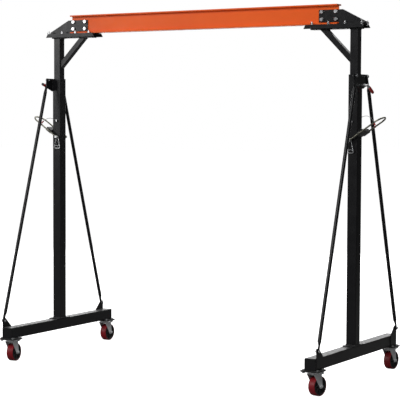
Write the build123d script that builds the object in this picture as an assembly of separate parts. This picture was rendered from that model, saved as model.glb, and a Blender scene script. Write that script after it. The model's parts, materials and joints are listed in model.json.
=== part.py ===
from build123d import *
import math
import os

# Portable gantry crane: an I-beam on two telescoping stands that roll on swivel casters.
# Row frame: X along the beam, Y along the base bars, Z up, origin on the floor at the middle.
# Both stands are the same weldment. A stand is drawn with its outward side facing +X and its
# column centred on the origin, then placed, the left one after half a turn about Z.

# ---- driving sizes -------------------------------------------------------------------------
BEAM_INSET = 121.0             # from each column centre in to the beam's end
BEAM_HEIGHT = 130.0
BEAM_WIDTH = 64.0
BEAM_WEB = 6.0
BEAM_FLANGE = 9.0
BEAM_FILLET = 6.0

COLUMN_SPACING = 2376.0        # between the two column centres
OUTER_TUBE = 68.0
OUTER_WALL = 3.2
OUTER_TOP = 1997.0             # height of the outer tube's open end
OUTER_RADIUS = 4.0
SLIDE_PLAY = 3.15              # air between the two tubes, each side
INNER_WALL = 3.2
INNER_RADIUS = 3.5
INNER_RISE = 292.0             # inner tube's top above the outer tube's end, fully lowered

HOLE_PITCH = 101.6             # four inches between height holes
HOLE_STEPS = 12                # steps from the lowest to the highest setting
HOLE_RADIUS = 8.6

BASE_LENGTH = 1226.0
BASE_BAR = 76.0
BASE_WALL = 4.0
BASE_RADIUS = 5.0
END_CAP = 4.0
FOOT_PLATE = (80.0, 150.0, 6.0)

TOP_PLATE_THICK = 6.0
TOP_PLATE_WIDTH = 60.0
TOP_PLATE_OUT = 44.0           # reach outward of the column centre
TOP_PLATE_IN = 312.0           # reach inward of the column centre
CRADLE_HEIGHT = 27.0
CRADLE_WIDTH = 115.0
CRADLE_THICK = 5.0
CRADLE_OUT = 76.0
CRADLE_IN = 350.0
CRADLE_END_RAKE = 15.0         # how far the flange ends lean in at the top
BRACE_TUBE = 38.0
BRACE_WALL = 3.0
BRACE_REACH = 192.0            # along and up from the column face to the top plate

GUSSET_THICK = 6.0
GUSSET_OUT = 70.0
GUSSET_NOSE = 14.0             # height of the gusset's outer end
GUSSET_SHOULDER = 92.0         # where the sloping edge meets the level top edge
GUSSET_IN = 262.0
GUSSET_TOP = 96.0              # height of the level top edge above the cradle
WEB_BOLT_COLUMNS = (138.0, 240.0)
WEB_BOLT_ROWS = (34.0, 83.0)   # above the cradle
WEB_BOLT_RADIUS = 7.0
CRADLE_BOLT_FIRST = 61.0
CRADLE_BOLT_PITCH = 118.5
CRADLE_BOLT_SIDE = 42.2
CRADLE_BOLT_RADIUS = 5.5
CRADLE_BOLT_TAIL = 3.6         # thread above the nut's seat, in bolt radii

ROD_RADIUS = 12.0
ROD_STAND_OFF = 3.25           # rod centre outward of the bracket's face
ROD_TOP_SIDE = 83.0            # bolt positions at the rods' two ends
ROD_TOP_BELOW = 11.0           # below the outer tube's open end
ROD_LOW_INSET = 23.0           # lower bolts from the base bar's ends
ROD_LOW_ABOVE = 45.0           # above the base bar
ROD_TAB_THICK = 6.0
ROD_TAB_WIDTH = 27.0
ROD_TAB_HIGH = 66.0            # flattened length from each bolt to the round body
ROD_TAB_LOW = 36.0
ROD_BOLT_RADIUS = 5.0
BRACKET_THICK = 6.0
BRACKET_HALF = 106.0
BRACKET_EDGE = 66.0            # depth of the bracket's outer edges
BRACKET_DEPTH = 92.0           # depth of the bracket beside the column
LUG_THICK = 5.0
LUG_INSET = 8.0                # from the base bar's end
LUG_WIDTH = 93.0
LUG_TIP = 30.0                 # width of its tip
LUG_RISE = 62.0                # lug tip above the base bar
LUG_FOOT = 12.0                # lug bottom above the base bar's underside

WHEEL_RADIUS = 62.5
TREAD_WIDTH = 50.0
TREAD_THICK = 6.0
TREAD_SHOULDER = 4.5
CORE_WIDTH = 46.0
HUB_RADIUS = 17.0
HUB_WIDTH = 53.0
AXLE_RADIUS = 5.0
CASTER_TRAIL = 42.0
CASTER_INSET = 45.5            # king pins from the base bar's ends
CASTER_RISE = 42.0             # base bar above the top of the wheels
CASTER_TURN = {("left", "front"): 8.0, ("left", "rear"): 0.0,
               ("right", "front"): -12.0, ("right", "rear"): -6.0}
PAD_BOLT_GAP = 9.5             # bolts beside the base bar
PAD_BOLT_HALF = 37.5           # bolts along it, from the king pin
CASTER_PLATE_EDGE = 9.0        # plate beyond its bolts, across the bar
CASTER_PLATE_LENGTH = 104.0
CASTER_PLATE_THICK = 4.0
PAD_EDGE = 14.0                # pad beyond its bolts, across the bar
PAD_LENGTH = 114.0
PAD_THICK = 8.0
PAD_BOLT_RADIUS = 4.5
PAD_BOLT_TAIL = 1.9            # bolt radii of thread below the plate, clear of the turning fork
RACE_RADIUS = 31.0
RACE_HEIGHT = 9.0
FORK_THICK = 3.0
FORK_INSIDE = 56.0
CROWN_THICK = 4.0
KING_PIN_RADIUS = 7.0
PEDAL_WIDTH = 36.0
PEDAL_PIN_RADIUS = 3.0
PEDAL_PIVOT_Y = 34.0           # from the king pin towards the wheel
PEDAL_PIVOT_BELOW = 9.0        # below the crown's underside
PEDAL_REACH = 52.0             # from the pivot to the pedal's tip
SHOE = (8.0, 18.0)             # brake shoe: near and far edge from the pivot
SHOE_GAP = 3.5                 # shoe above the tread

LEVER_BAR_RADIUS = 5.5
LEVER_AIR = 15.5               # between the column and each strand
LEVER_LENGTH = 268.0           # pivot to the outside of the bend
LEVER_ANGLE = 33.5
LEVER_PIVOT_IN = 13.0          # pivot inward of the column centre
LEVER_DROP = 421.0             # pivot below the outer tube's end
LEVER_EYE_RADIUS = 11.0
LEVER_EYE_WIDTH = 9.0
BLOCK_LENGTH = 50.0
BLOCK_HEIGHT = 26.0
BLOCK_LAND = 3.0               # how far the flat land that meets the column is cut back
STUD_RADIUS = 5.0
STUD_HEAD = 4.0                # its head's thickness and overhang
LINK_WIRE_RADIUS = 3.0
LINK_WIDTH = 54.0
LINK_DROP = 86.0
LINK_BAR_RISE = 19.0
LINK_STAND_OFF = 9.5           # link plane from the column's side

PIN_RADIUS = 8.0
PIN_DROP = 69.0                # below the outer tube's end
PIN_REACH = 52.25              # handle outward of the column's face
PIN_PARKED = 1.0               # tip clear of the inner tube
PIN_HANDLE_LENGTH = 92.0
PIN_BEND = 16.0
PIN_HANDLE_TILT = {"right": -30.0, "left": 20.0}
GRIP_RADIUS = 10.5
GRIP_LENGTH = 66.0

WIRE_RADIUS = 1.6
WIRE_SCREW_OUT = -5.0          # outward of the column centre
WIRE_SCREW_DROP = 303.0        # below the outer tube's end
WIRE_SCREW_RADIUS = 4.0
WIRE_ROUTE = {                 # outward, away from the column's side, and above the screw
    "right": ((18.0, 0.4, 22.5), (44.0, 3.0, 37.0), (70.0, 7.0, 38.0), (92.0, 11.0, 24.0),
              (107.0, 14.0, 2.0), (117.0, 16.0, -22.0)),
    "left": ((20.0, 0.4, 12.0), (45.0, 3.0, 17.5), (72.0, 7.0, 16.0), (95.0, 11.0, 5.0),
             (112.0, 14.0, -9.5), (121.0, 16.0, -18.5))}

# ---- fits ----------------------------------------------------------------------------------
RUNNING = 0.06                 # radial clearance of pins, axles and studs that turn
GAP = 0.5                      # clear space between pieces of different bodies
BOLT_PLAY = 0.5                # radial play of bolts in drilled holes

# ---- levels and places that follow ---------------------------------------------------------
COLUMN_X = COLUMN_SPACING / 2
BEAM_LENGTH = COLUMN_SPACING - 2 * BEAM_INSET
INNER_TUBE = OUTER_TUBE - 2 * (OUTER_WALL + SLIDE_PLAY)
INNER_TOP = OUTER_TOP + INNER_RISE
BASE_BOTTOM = 2 * WHEEL_RADIUS + CASTER_RISE
BASE_TOP = BASE_BOTTOM + BASE_BAR
OUTER_BOTTOM = BASE_TOP + FOOT_PLATE[2]
PLATE_TOP = INNER_TOP + TOP_PLATE_THICK
CRADLE_TOP = PLATE_TOP + CRADLE_HEIGHT
OUTER_HALF = OUTER_TUBE / 2
INNER_HALF = INNER_TUBE / 2
BAR_HALF = BASE_BAR / 2
BRACKET_FACE = OUTER_HALF + BRACKET_THICK
LUG_FACE = BAR_HALF + LUG_THICK
PAD_TOP = BASE_BOTTOM
PAD_LOW = PAD_TOP - PAD_THICK
PLATE_LOW = PAD_LOW - CASTER_PLATE_THICK
RACE_LOW = PLATE_LOW - RACE_HEIGHT
CROWN_TOP = RACE_LOW - GAP
CROWN_LOW = CROWN_TOP - CROWN_THICK
ROD_TOP_Z = OUTER_TOP - ROD_TOP_BELOW
ROD_LOW_Z = BASE_TOP + ROD_LOW_ABOVE
ROD_LOW_SIDE = BASE_LENGTH / 2 - ROD_LOW_INSET
ROD_OFFSET = BRACKET_FACE + ROD_STAND_OFF      # rod centre outward of the column centre
CASTER_SIDE = BASE_LENGTH / 2 - CASTER_INSET   # king pin from the middle of the base bar
PAD_BOLT_SIDE = BAR_HALF + PAD_BOLT_GAP
CORE_RADIUS = WHEEL_RADIUS - TREAD_THICK
PEDAL_PIVOT_Z = CROWN_LOW - PEDAL_PIVOT_BELOW
LEVER_HALF_WIDTH = OUTER_HALF + LEVER_AIR + LEVER_BAR_RADIUS
LEVER_PIVOT_Z = OUTER_TOP - LEVER_DROP
STUD_REACH = LEVER_HALF_WIDTH + LEVER_EYE_WIDTH / 2 + 2.0 + STUD_HEAD
LINK_SIDE = OUTER_HALF + LINK_STAND_OFF
PIN_Z = OUTER_TOP - PIN_DROP
PIN_HANDLE_OUT = OUTER_HALF + PIN_REACH
PIN_TIP_PARKED = INNER_HALF + PIN_PARKED
WIRE_SCREW_Z = OUTER_TOP - WIRE_SCREW_DROP
SIDES = ("left", "right")


# ---- helpers -------------------------------------------------------------------------------
def block(x, y, z):
    """Solid box between two X, two Y and two Z values."""
    size = [b - a for a, b in (x, y, z)]
    middle = [(a + b) / 2 for a, b in (x, y, z)]
    return Pos(*middle) * Box(*size)


def rod_x(radius, x0, x1, y, z):
    """Round bar along X."""
    return Pos((x0 + x1) / 2, y, z) * Rot(0, 90, 0) * Cylinder(radius, abs(x1 - x0))


def rod_y(radius, y0, y1, x, z):
    """Round bar along Y."""
    return Pos(x, (y0 + y1) / 2, z) * Rot(90, 0, 0) * Cylinder(radius, abs(y1 - y0))


def rod_z(radius, z0, z1, x, y):
    """Round bar along Z."""
    return Pos(x, y, (z0 + z1) / 2) * Cylinder(radius, abs(z1 - z0))


def hexagon(across, height):
    """Hexagonal prism standing on the XY plane, given its size across the flats."""
    return extrude(RegularPolygon(across / 2, 6, major_radius=False), height)


def plate_yz(points, x0, x1):
    """Flat plate across X with the given Y, Z outline."""
    face = Plane.YZ * make_face(Polyline(*points, close=True))
    return Pos(x0, 0, 0) * extrude(face, x1 - x0)


def plate_xz(points, y0, y1):
    """Flat plate across Y with the given X, Z outline."""
    face = Plane.XZ * make_face(Polyline(*points, close=True))
    return Pos(0, y1, 0) * extrude(face, y1 - y0)


def square_tube(size, wall, radius, length):
    """Square hollow section standing on the XY plane, with rounded corners."""
    inner = size - 2 * wall
    section = RectangleRounded(size, size, radius) - Rectangle(inner, inner)
    return extrude(section, length)


def bolt(radius, head_at, nut_at, tail=2.4):
    """Hexagon bolt along +Z from the head's seat to the nut's seat, with washers.

    The thread reaches tail bolt radii beyond the nut's seat.
    """
    washer = 0.35 * radius
    head = 1.25 * radius
    shape = rod_z(radius, head_at - washer, nut_at + tail * radius, 0, 0)
    shape += rod_z(1.8 * radius, head_at - washer, head_at, 0, 0)
    shape += rod_z(1.8 * radius, nut_at, nut_at + washer, 0, 0)
    shape += Pos(0, 0, head_at - washer - head) * hexagon(3.4 * radius, head)
    shape += Pos(0, 0, nut_at + washer) * hexagon(3.4 * radius, 1.5 * radius)
    return shape


def along_x(shape, x, y, z, outward=True):
    """Turn a shape drawn along +Z so that it runs along X, and place it."""
    return Pos(x, y, z) * Rot(0, 90 if outward else -90, 0) * shape


def place(side, shape):
    """Move a stand's piece to the right or left column."""
    if side == "right":
        return Pos(COLUMN_X, 0, 0) * shape
    return Pos(-COLUMN_X, 0, 0) * Rot(0, 0, 180) * shape


def save(name, *shapes):
    """Write one node, its solids kept apart."""
    solids = []
    for shape in shapes:
        solids += shape.solids()
    node = solids[0] if len(solids) == 1 else Compound(children=solids)
    export_step(node, os.path.join("parts", name + ".step"))


# ---- upper frame ---------------------------------------------------------------------------
def i_beam():
    """Rolled I-section with small root fillets, drilled at both ends for the web bolts."""
    half = BEAM_WIDTH / 2
    web = BEAM_WEB / 2
    z0 = CRADLE_TOP
    z1 = z0 + BEAM_HEIGHT
    f = BEAM_FLANGE
    outline = [(-half, z0), (half, z0), (half, z0 + f), (web, z0 + f), (web, z1 - f), (half, z1 - f),
               (half, z1), (-half, z1), (-half, z1 - f), (-web, z1 - f), (-web, z0 + f), (-half, z0 + f)]
    beam = plate_yz(outline, -BEAM_LENGTH / 2, BEAM_LENGTH / 2)
    roots = [e for e in beam.edges().filter_by(Axis.X)
             if abs(abs(e.center().Y) - web) < 0.01 and z0 + 1 < e.center().Z < z1 - 1]
    beam = fillet(roots, BEAM_FILLET)
    for sx in (-1, 1):
        for dx in WEB_BOLT_COLUMNS:
            for dz in WEB_BOLT_ROWS:
                beam -= rod_y(WEB_BOLT_RADIUS + BOLT_PLAY, -half, half, sx * (COLUMN_X - dx), z0 + dz)
    return beam


def inner_tube():
    """Telescoping inner tube with the row of height holes through its outward and inward walls."""
    bottom = OUTER_BOTTOM + GAP
    tube = Pos(0, 0, bottom) * square_tube(INNER_TUBE, INNER_WALL, INNER_RADIUS, INNER_TOP - bottom)
    for step in range(HOLE_STEPS + 1):
        tube -= rod_x(HOLE_RADIUS, -OUTER_TUBE, OUTER_TUBE, 0, PIN_Z - step * HOLE_PITCH)
    return tube


def cradle_bolt_places():
    """Outward distance and side of each cradle bolt."""
    return [(CRADLE_BOLT_FIRST - n * CRADLE_BOLT_PITCH, side * CRADLE_BOLT_SIDE)
            for n in range(4) for side in (-1, 1)]


def top_plate():
    """Plate welded on the inner tube and the knee brace."""
    half = TOP_PLATE_WIDTH / 2
    return block((-TOP_PLATE_IN, TOP_PLATE_OUT), (-half, half), (INNER_TOP, PLATE_TOP))


def cradle_channel():
    """Channel, flanges down, that the beam end sits on; its flange ends lean in at the top."""
    half = CRADLE_WIDTH / 2
    outline = [(-CRADLE_IN, PLATE_TOP), (CRADLE_OUT, PLATE_TOP),
               (CRADLE_OUT - CRADLE_END_RAKE, CRADLE_TOP), (-CRADLE_IN + CRADLE_END_RAKE, CRADLE_TOP)]
    channel = plate_xz(outline, -half, half)
    inside = half - CRADLE_THICK
    channel -= block((-CRADLE_IN - 1, CRADLE_OUT + 1), (-inside, inside),
                     (PLATE_TOP - 1, CRADLE_TOP - CRADLE_THICK))
    for out, side in cradle_bolt_places():
        channel -= rod_z(CRADLE_BOLT_RADIUS + BOLT_PLAY, PLATE_TOP, CRADLE_TOP + 1, out, side)
    return channel


def saddle_strip():
    """Packing strip between the top plate and the channel's web."""
    half = TOP_PLATE_WIDTH / 2
    return block((-TOP_PLATE_IN, TOP_PLATE_OUT), (-half, half), (PLATE_TOP, CRADLE_TOP - CRADLE_THICK))


def gusset_plates():
    """Two plates beside the web that join the beam end to its cradle."""
    near = BEAM_WEB / 2
    z0 = CRADLE_TOP
    over_flange = z0 + BEAM_FLANGE + BEAM_FILLET
    step = BEAM_INSET - 4.0
    outline = [(GUSSET_OUT, z0), (GUSSET_OUT, z0 + GUSSET_NOSE), (-GUSSET_SHOULDER, z0 + GUSSET_TOP),
               (-GUSSET_IN, z0 + GUSSET_TOP), (-GUSSET_IN, over_flange), (-step, over_flange), (-step, z0)]
    plates = []
    for side in (-1, 1):
        y0, y1 = sorted((side * near, side * (near + GUSSET_THICK)))
        plate = plate_xz(outline, y0, y1)
        for dx in WEB_BOLT_COLUMNS:
            for dz in WEB_BOLT_ROWS:
                plate -= rod_y(WEB_BOLT_RADIUS + BOLT_PLAY, y0 - 1, y1 + 1, -dx, z0 + dz)
        plates.append(plate)
    return plates


def web_bolts():
    """Four bolts through both gusset plates and the beam's web."""
    seat = BEAM_WEB / 2 + GUSSET_THICK
    bolts = []
    for dx in WEB_BOLT_COLUMNS:
        for dz in WEB_BOLT_ROWS:
            bolts.append(Pos(-dx, 0, CRADLE_TOP + dz) * Rot(-90, 0, 0) * bolt(WEB_BOLT_RADIUS, -seat, seat))
    return bolts


def cradle_bolts():
    """Bolts up through the channel's web beside the top plate, with nuts above the web."""
    shape = bolt(CRADLE_BOLT_RADIUS, 0, CRADLE_THICK, CRADLE_BOLT_TAIL)
    return [Pos(out, side, CRADLE_TOP - CRADLE_THICK) * shape for out, side in cradle_bolt_places()]


def knee_brace():
    """Square tube at 45 degrees from the column's inward face up to the top plate."""
    length = 2 * BRACE_REACH
    tube = square_tube(BRACE_TUBE, BRACE_WALL, 3.0, length)
    low = (-INNER_HALF, INNER_TOP - BRACE_REACH)
    middle = (low[0] - BRACE_REACH / 2, low[1] + BRACE_REACH / 2)
    tube = Pos(middle[0], 0, middle[1]) * Rot(0, -45, 0) * Pos(0, 0, -length / 2) * tube
    keep = block((-BRACE_REACH - 3 * BRACE_TUBE, -INNER_HALF), (-BRACE_TUBE, BRACE_TUBE),
                 (low[1] - 3 * BRACE_TUBE, INNER_TOP))
    return tube & keep


# ---- stand ---------------------------------------------------------------------------------
def outer_tube():
    """Column tube, drilled on its outward face for the pull pin."""
    tube = square_tube(OUTER_TUBE, OUTER_WALL, OUTER_RADIUS, OUTER_TOP - OUTER_BOTTOM)
    tube = Pos(0, 0, OUTER_BOTTOM) * tube
    tube -= rod_x(PIN_RADIUS + RUNNING, 0, OUTER_TUBE, 0, PIN_Z)
    return tube


def foot_plate():
    """Plate between the column and the base bar."""
    x, y, z = FOOT_PLATE
    return block((-x / 2, x / 2), (-y / 2, y / 2), (BASE_TOP, BASE_TOP + z))


def base_bar():
    """Hollow base bar along Y, drilled underneath for the caster bolts."""
    length = BASE_LENGTH - 2 * END_CAP
    tube = Pos(0, length / 2, BASE_BOTTOM + BAR_HALF) * Rot(90, 0, 0) * square_tube(
        BASE_BAR, BASE_WALL, BASE_RADIUS, length)
    return tube


def end_caps():
    """Plates that close the base bar's two ends."""
    caps = []
    for side in (-1, 1):
        cap = extrude(RectangleRounded(BASE_BAR, BASE_BAR, BASE_RADIUS), END_CAP)
        middle = side * (BASE_LENGTH - END_CAP) / 2
        caps.append(Pos(0, middle + END_CAP / 2, BASE_BOTTOM + BAR_HALF) * Rot(90, 0, 0) * cap)
    return caps


def brace_plates():
    """Top bracket on the column's outward face and a lug at each end of the base bar."""
    top = OUTER_TOP + 1.0
    edge = BRACKET_HALF
    outline = [(-edge, top), (edge, top), (edge, top - BRACKET_EDGE), (OUTER_HALF, top - BRACKET_DEPTH),
               (-OUTER_HALF, top - BRACKET_DEPTH), (-edge, top - BRACKET_EDGE)]
    bracket = plate_yz(outline, OUTER_HALF, BRACKET_FACE)
    bracket -= rod_x(PIN_RADIUS + RUNNING, 0, OUTER_TUBE, 0, PIN_Z)
    lugs = []
    for side in (-1, 1):
        tip = BASE_TOP + LUG_RISE
        foot = BASE_BOTTOM + LUG_FOOT
        near = BASE_LENGTH / 2 - LUG_INSET
        back = near - LUG_WIDTH
        lug = plate_yz([(side * near, foot), (side * near, tip), (side * (near - LUG_TIP), tip),
                        (side * back, BASE_TOP), (side * back, foot)], BAR_HALF, LUG_FACE)
        lug -= rod_x(ROD_BOLT_RADIUS + BOLT_PLAY, 0, BASE_BAR, side * ROD_LOW_SIDE, ROD_LOW_Z)
        bracket -= rod_x(ROD_BOLT_RADIUS + BOLT_PLAY, 0, BASE_BAR, side * ROD_TOP_SIDE, ROD_TOP_Z)
        lugs.append(lug)
    return [bracket] + lugs


def tie_rod(side):
    """Round tie rod with a flattened, drilled tab at each end."""
    low = Vector(ROD_OFFSET, side * ROD_LOW_SIDE, ROD_LOW_Z)
    high = Vector(ROD_OFFSET, side * ROD_TOP_SIDE, ROD_TOP_Z)
    run = high - low
    tilt = math.degrees(math.atan2(-run.Y, run.Z))
    rod = rod_z(ROD_RADIUS, ROD_TAB_LOW, run.length - ROD_TAB_HIGH, 0, 0)
    ends = ((0.0, LUG_FACE, 0, ROD_TAB_LOW), (run.length, BRACKET_FACE, 180, ROD_TAB_HIGH))
    for at, face, turn, length in ends:
        flat = face - ROD_OFFSET
        tab = block((flat, flat + ROD_TAB_THICK), (-ROD_TAB_WIDTH / 2, ROD_TAB_WIDTH / 2),
                    (0, length + ROD_RADIUS))
        tab += rod_x(ROD_TAB_WIDTH / 2, flat, flat + ROD_TAB_THICK, 0, 0)
        tab -= rod_x(ROD_BOLT_RADIUS + BOLT_PLAY, flat - 1, flat + ROD_TAB_THICK + 1, 0, 0)
        tab = Rot(turn, 0, 0) * tab
        rod += Pos(0, 0, at) * tab
    return Pos(low.X, low.Y, low.Z) * Rot(tilt, 0, 0) * rod


def rod_bolts():
    """Bolts along X through the rods' tabs and their plates."""
    bolts = []
    for side in (-1, 1):
        for y, z, face, plate in ((side * ROD_LOW_SIDE, ROD_LOW_Z, LUG_FACE, LUG_THICK),
                                  (side * ROD_TOP_SIDE, ROD_TOP_Z, BRACKET_FACE, BRACKET_THICK)):
            shape = bolt(ROD_BOLT_RADIUS, 0, plate + ROD_TAB_THICK)
            bolts.append(along_x(shape, face + ROD_TAB_THICK, y, z, outward=False))
    return bolts


def caster_pads():
    """Square pads welded under the base bar's ends, drilled for the caster bolts."""
    pads = []
    for side in (-1, 1):
        half = PAD_BOLT_SIDE + PAD_EDGE
        pad = Pos(0, side * CASTER_SIDE, PAD_TOP - PAD_THICK / 2) * Box(2 * half, PAD_LENGTH, PAD_THICK)
        for x, y in pad_bolt_places(side):
            pad -= rod_z(PAD_BOLT_RADIUS + BOLT_PLAY, PAD_LOW - 1, PAD_TOP + 1, x, y)
        pads.append(pad)
    return pads


def pad_bolt_places(side):
    """Four bolt positions round one king pin."""
    return [(sx * PAD_BOLT_SIDE, side * CASTER_SIDE + sy * PAD_BOLT_HALF) for sx in (-1, 1) for sy in (-1, 1)]


def caster_plates():
    """The casters' fixed top plates, each with its ball race and king pin bore."""
    plates = []
    for side in (-1, 1):
        y = side * CASTER_SIDE
        half = PAD_BOLT_SIDE + CASTER_PLATE_EDGE
        length = CASTER_PLATE_LENGTH / 2
        plate = block((-half, half), (y - length, y + length), (PLATE_LOW, PAD_LOW))
        plate += rod_z(RACE_RADIUS, RACE_LOW, PLATE_LOW, 0, y)
        plate -= rod_z(KING_PIN_RADIUS + RUNNING, RACE_LOW - 1, PAD_LOW + 1, 0, y)
        for bx, by in pad_bolt_places(side):
            plate -= rod_z(PAD_BOLT_RADIUS + BOLT_PLAY, PLATE_LOW - 1, PAD_LOW + 1, bx, by)
        plates.append(plate)
    return plates


def caster_bolts():
    """Bolts through each pad and caster plate, nuts underneath."""
    grip = PAD_THICK + CASTER_PLATE_THICK
    return [Pos(x, y, PAD_TOP) * Rot(180, 0, 0) * bolt(PAD_BOLT_RADIUS, 0, grip, PAD_BOLT_TAIL)
            for side in (-1, 1) for x, y in pad_bolt_places(side)]


def side_studs():
    """Shouldered studs the lever and links hang on, and the keeper wire's screws."""
    out, z = WIRE_SCREW_OUT, WIRE_SCREW_Z
    pieces = []
    for side in (-1, 1):
        stud = rod_y(STUD_RADIUS, side * OUTER_HALF, side * STUD_REACH, -LEVER_PIVOT_IN, LEVER_PIVOT_Z)
        stud += rod_y(STUD_RADIUS + STUD_HEAD, side * (STUD_REACH - STUD_HEAD), side * STUD_REACH,
                      -LEVER_PIVOT_IN, LEVER_PIVOT_Z)
        screw = rod_y(WIRE_SCREW_RADIUS, side * OUTER_HALF, side * (OUTER_HALF + 7.0), out, z)
        screw += rod_y(WIRE_SCREW_RADIUS + 3.5, side * (OUTER_HALF + 5.6), side * (OUTER_HALF + 9.0), out, z)
        pieces += [stud, screw]
    return pieces


def keeper_wire(stand):
    """Keeper wire from its screw round to the lever's strand; both ends are held."""
    side = OUTER_HALF + 3.4
    start = WIRE_SCREW_OUT + WIRE_SCREW_RADIUS + 0.2
    vectors = [Vector(start, side, WIRE_SCREW_Z + 2.0)]
    vectors += [Vector(out, side + across, WIRE_SCREW_Z + up) for out, across, up in WIRE_ROUTE[stand]]
    runs = [b - a for a, b in zip(vectors, vectors[1:])]
    radii = []
    for a, b in zip(runs, runs[1:]):
        turn = math.radians(a.get_angle(b))
        radii.append(0.45 * min(a.length, b.length) / math.tan(turn / 2))
    print(stand, "keeper wire bend radii", [round(r, 1) for r in radii])
    path = FilletPolyline(*vectors, radius=radii)
    print(stand, "keeper wire length", round(path.length, 1))
    return sweep(Plane(path @ 0, z_dir=path % 0) * Circle(WIRE_RADIUS), path)


# ---- caster --------------------------------------------------------------------------------
def caster_fork():
    """Swivel fork drawn with its king pin on the Z axis and its wheel towards +Y."""
    inside = FORK_INSIDE / 2
    outside = inside + FORK_THICK
    crown = rod_z(RACE_RADIUS - 1.0, CROWN_LOW, CROWN_TOP, 0, 0)
    crown += block((-outside, outside), (-RACE_RADIUS + 4, CASTER_TRAIL + 6), (CROWN_LOW, CROWN_TOP))
    crown += rod_z(KING_PIN_RADIUS, CROWN_LOW, PAD_LOW - GAP, 0, 0)
    eye = 15.0
    leg = plate_yz([(-RACE_RADIUS + 4, CROWN_LOW), (CASTER_TRAIL + 6, CROWN_LOW),
                    (CASTER_TRAIL + eye, WHEEL_RADIUS), (CASTER_TRAIL - eye, WHEEL_RADIUS)], inside, outside)
    leg += rod_x(eye, inside, outside, CASTER_TRAIL, WHEEL_RADIUS)
    leg -= rod_x(AXLE_RADIUS + BOLT_PLAY, 0, outside + 1, CASTER_TRAIL, WHEEL_RADIUS)
    leg -= rod_x(PEDAL_PIN_RADIUS + RUNNING, 0, outside + 1, PEDAL_PIVOT_Y, PEDAL_PIVOT_Z)
    fork = crown + leg + mirror(leg, about=Plane.YZ)
    axle = along_x(bolt(AXLE_RADIUS, -outside, outside), 0, CASTER_TRAIL, WHEEL_RADIUS)
    return [fork, axle]


def wheel_core():
    """Dished wheel core with its hub, on the axle at the origin of the wheel."""
    core = rod_x(CORE_RADIUS, -CORE_WIDTH / 2, CORE_WIDTH / 2, 0, 0)
    core += rod_x(HUB_RADIUS, -HUB_WIDTH / 2, HUB_WIDTH / 2, 0, 0)
    dish = 9.0
    for sx in (-1, 1):
        cut = rod_x(CORE_RADIUS - 7.0, sx * (CORE_WIDTH / 2 - dish), sx * (CORE_WIDTH / 2 + 1), 0, 0)
        cut -= rod_x(HUB_RADIUS, sx * (CORE_WIDTH / 2 - dish - 1), sx * (CORE_WIDTH / 2 + 2), 0, 0)
        core -= cut
    core -= rod_x(AXLE_RADIUS + RUNNING, -HUB_WIDTH, HUB_WIDTH, 0, 0)
    return core


def wheel_tread():
    """Moulded tread with rounded shoulders."""
    tread = rod_x(WHEEL_RADIUS, -TREAD_WIDTH / 2, TREAD_WIDTH / 2, 0, 0)
    rims = [e for e in tread.edges().filter_by(GeomType.CIRCLE)]
    tread = fillet(rims, TREAD_SHOULDER)
    return tread - rod_x(CORE_RADIUS, -TREAD_WIDTH, TREAD_WIDTH, 0, 0)


def brake_pedal():
    """Brake pedal on its cross pin, over the wheel's trailing side."""
    pivot_z = PEDAL_PIVOT_Z
    half = PEDAL_WIDTH / 2
    outside = FORK_INSIDE / 2 + FORK_THICK
    tip = PEDAL_PIVOT_Y + PEDAL_REACH
    near, far = SHOE
    depth = pivot_z - 2 * WHEEL_RADIUS - SHOE_GAP
    barrel = PEDAL_PIN_RADIUS + 2.0
    pedal = rod_x(barrel, -half, half, PEDAL_PIVOT_Y, pivot_z)
    pedal += block((-half, half), (PEDAL_PIVOT_Y, tip), (pivot_z, pivot_z + 3.5))
    pedal += block((-half, half), (tip - 4.0, tip), (pivot_z, pivot_z + 9.0))
    pedal += block((-half, half), (PEDAL_PIVOT_Y + near, PEDAL_PIVOT_Y + far), (pivot_z - depth, pivot_z))
    pedal += rod_x(PEDAL_PIN_RADIUS, -outside, outside, PEDAL_PIVOT_Y, pivot_z)
    return pedal


# ---- lever, link and pull pin --------------------------------------------------------------
def lever_frame(shape):
    """Turn a shape drawn along +X from the pivot up to the lever's angle, and place it."""
    return Pos(-LEVER_PIVOT_IN, 0, LEVER_PIVOT_Z) * Rot(0, -LEVER_ANGLE, 0) * shape


def jack_lever():
    """Round bar bent into a long U that straddles the column, with an eye on each strand."""
    r = LEVER_BAR_RADIUS
    w = LEVER_HALF_WIDTH
    straight = LEVER_LENGTH - r - w
    start = LEVER_EYE_RADIUS - 2.0
    lever = rod_x(r, start, straight, -w, 0) + rod_x(r, start, straight, w, 0)
    bend = Pos(straight, 0, 0) * Torus(w, r)
    bend &= block((straight, straight + 2 * w), (-2 * w, 2 * w), (-2 * r, 2 * r))
    lever += bend
    for side in (-1, 1):
        y0 = side * w - LEVER_EYE_WIDTH / 2
        y1 = side * w + LEVER_EYE_WIDTH / 2
        lever += rod_y(LEVER_EYE_RADIUS, y0, y1, 0, 0)
    for side in (-1, 1):
        lever -= rod_y(STUD_RADIUS + RUNNING, side * (w - r - 1), side * (w + r + 1), 0, 0)
    return lever_frame(lever)


def lever_block():
    """Stop block between the strands; its upright land stands just off the column's outward face."""
    a = math.radians(LEVER_ANGLE)
    h = BLOCK_HEIGHT / 2
    w = LEVER_HALF_WIDTH - LEVER_BAR_RADIUS
    reach = OUTER_HALF + LEVER_PIVOT_IN + GAP
    top = (reach + h * math.sin(a)) / math.cos(a)
    near = top - BLOCK_LAND
    land_low = (near * math.cos(a) - reach) / math.sin(a)
    far = near + BLOCK_LENGTH
    outline = [(near, -h), (near, land_low), (top, h), (far - 3.0, h), (far, h - 3.0), (far, 3.0 - h),
               (far - 3.0, -h)]
    return lever_frame(plate_xz(outline, -w, w))


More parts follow.
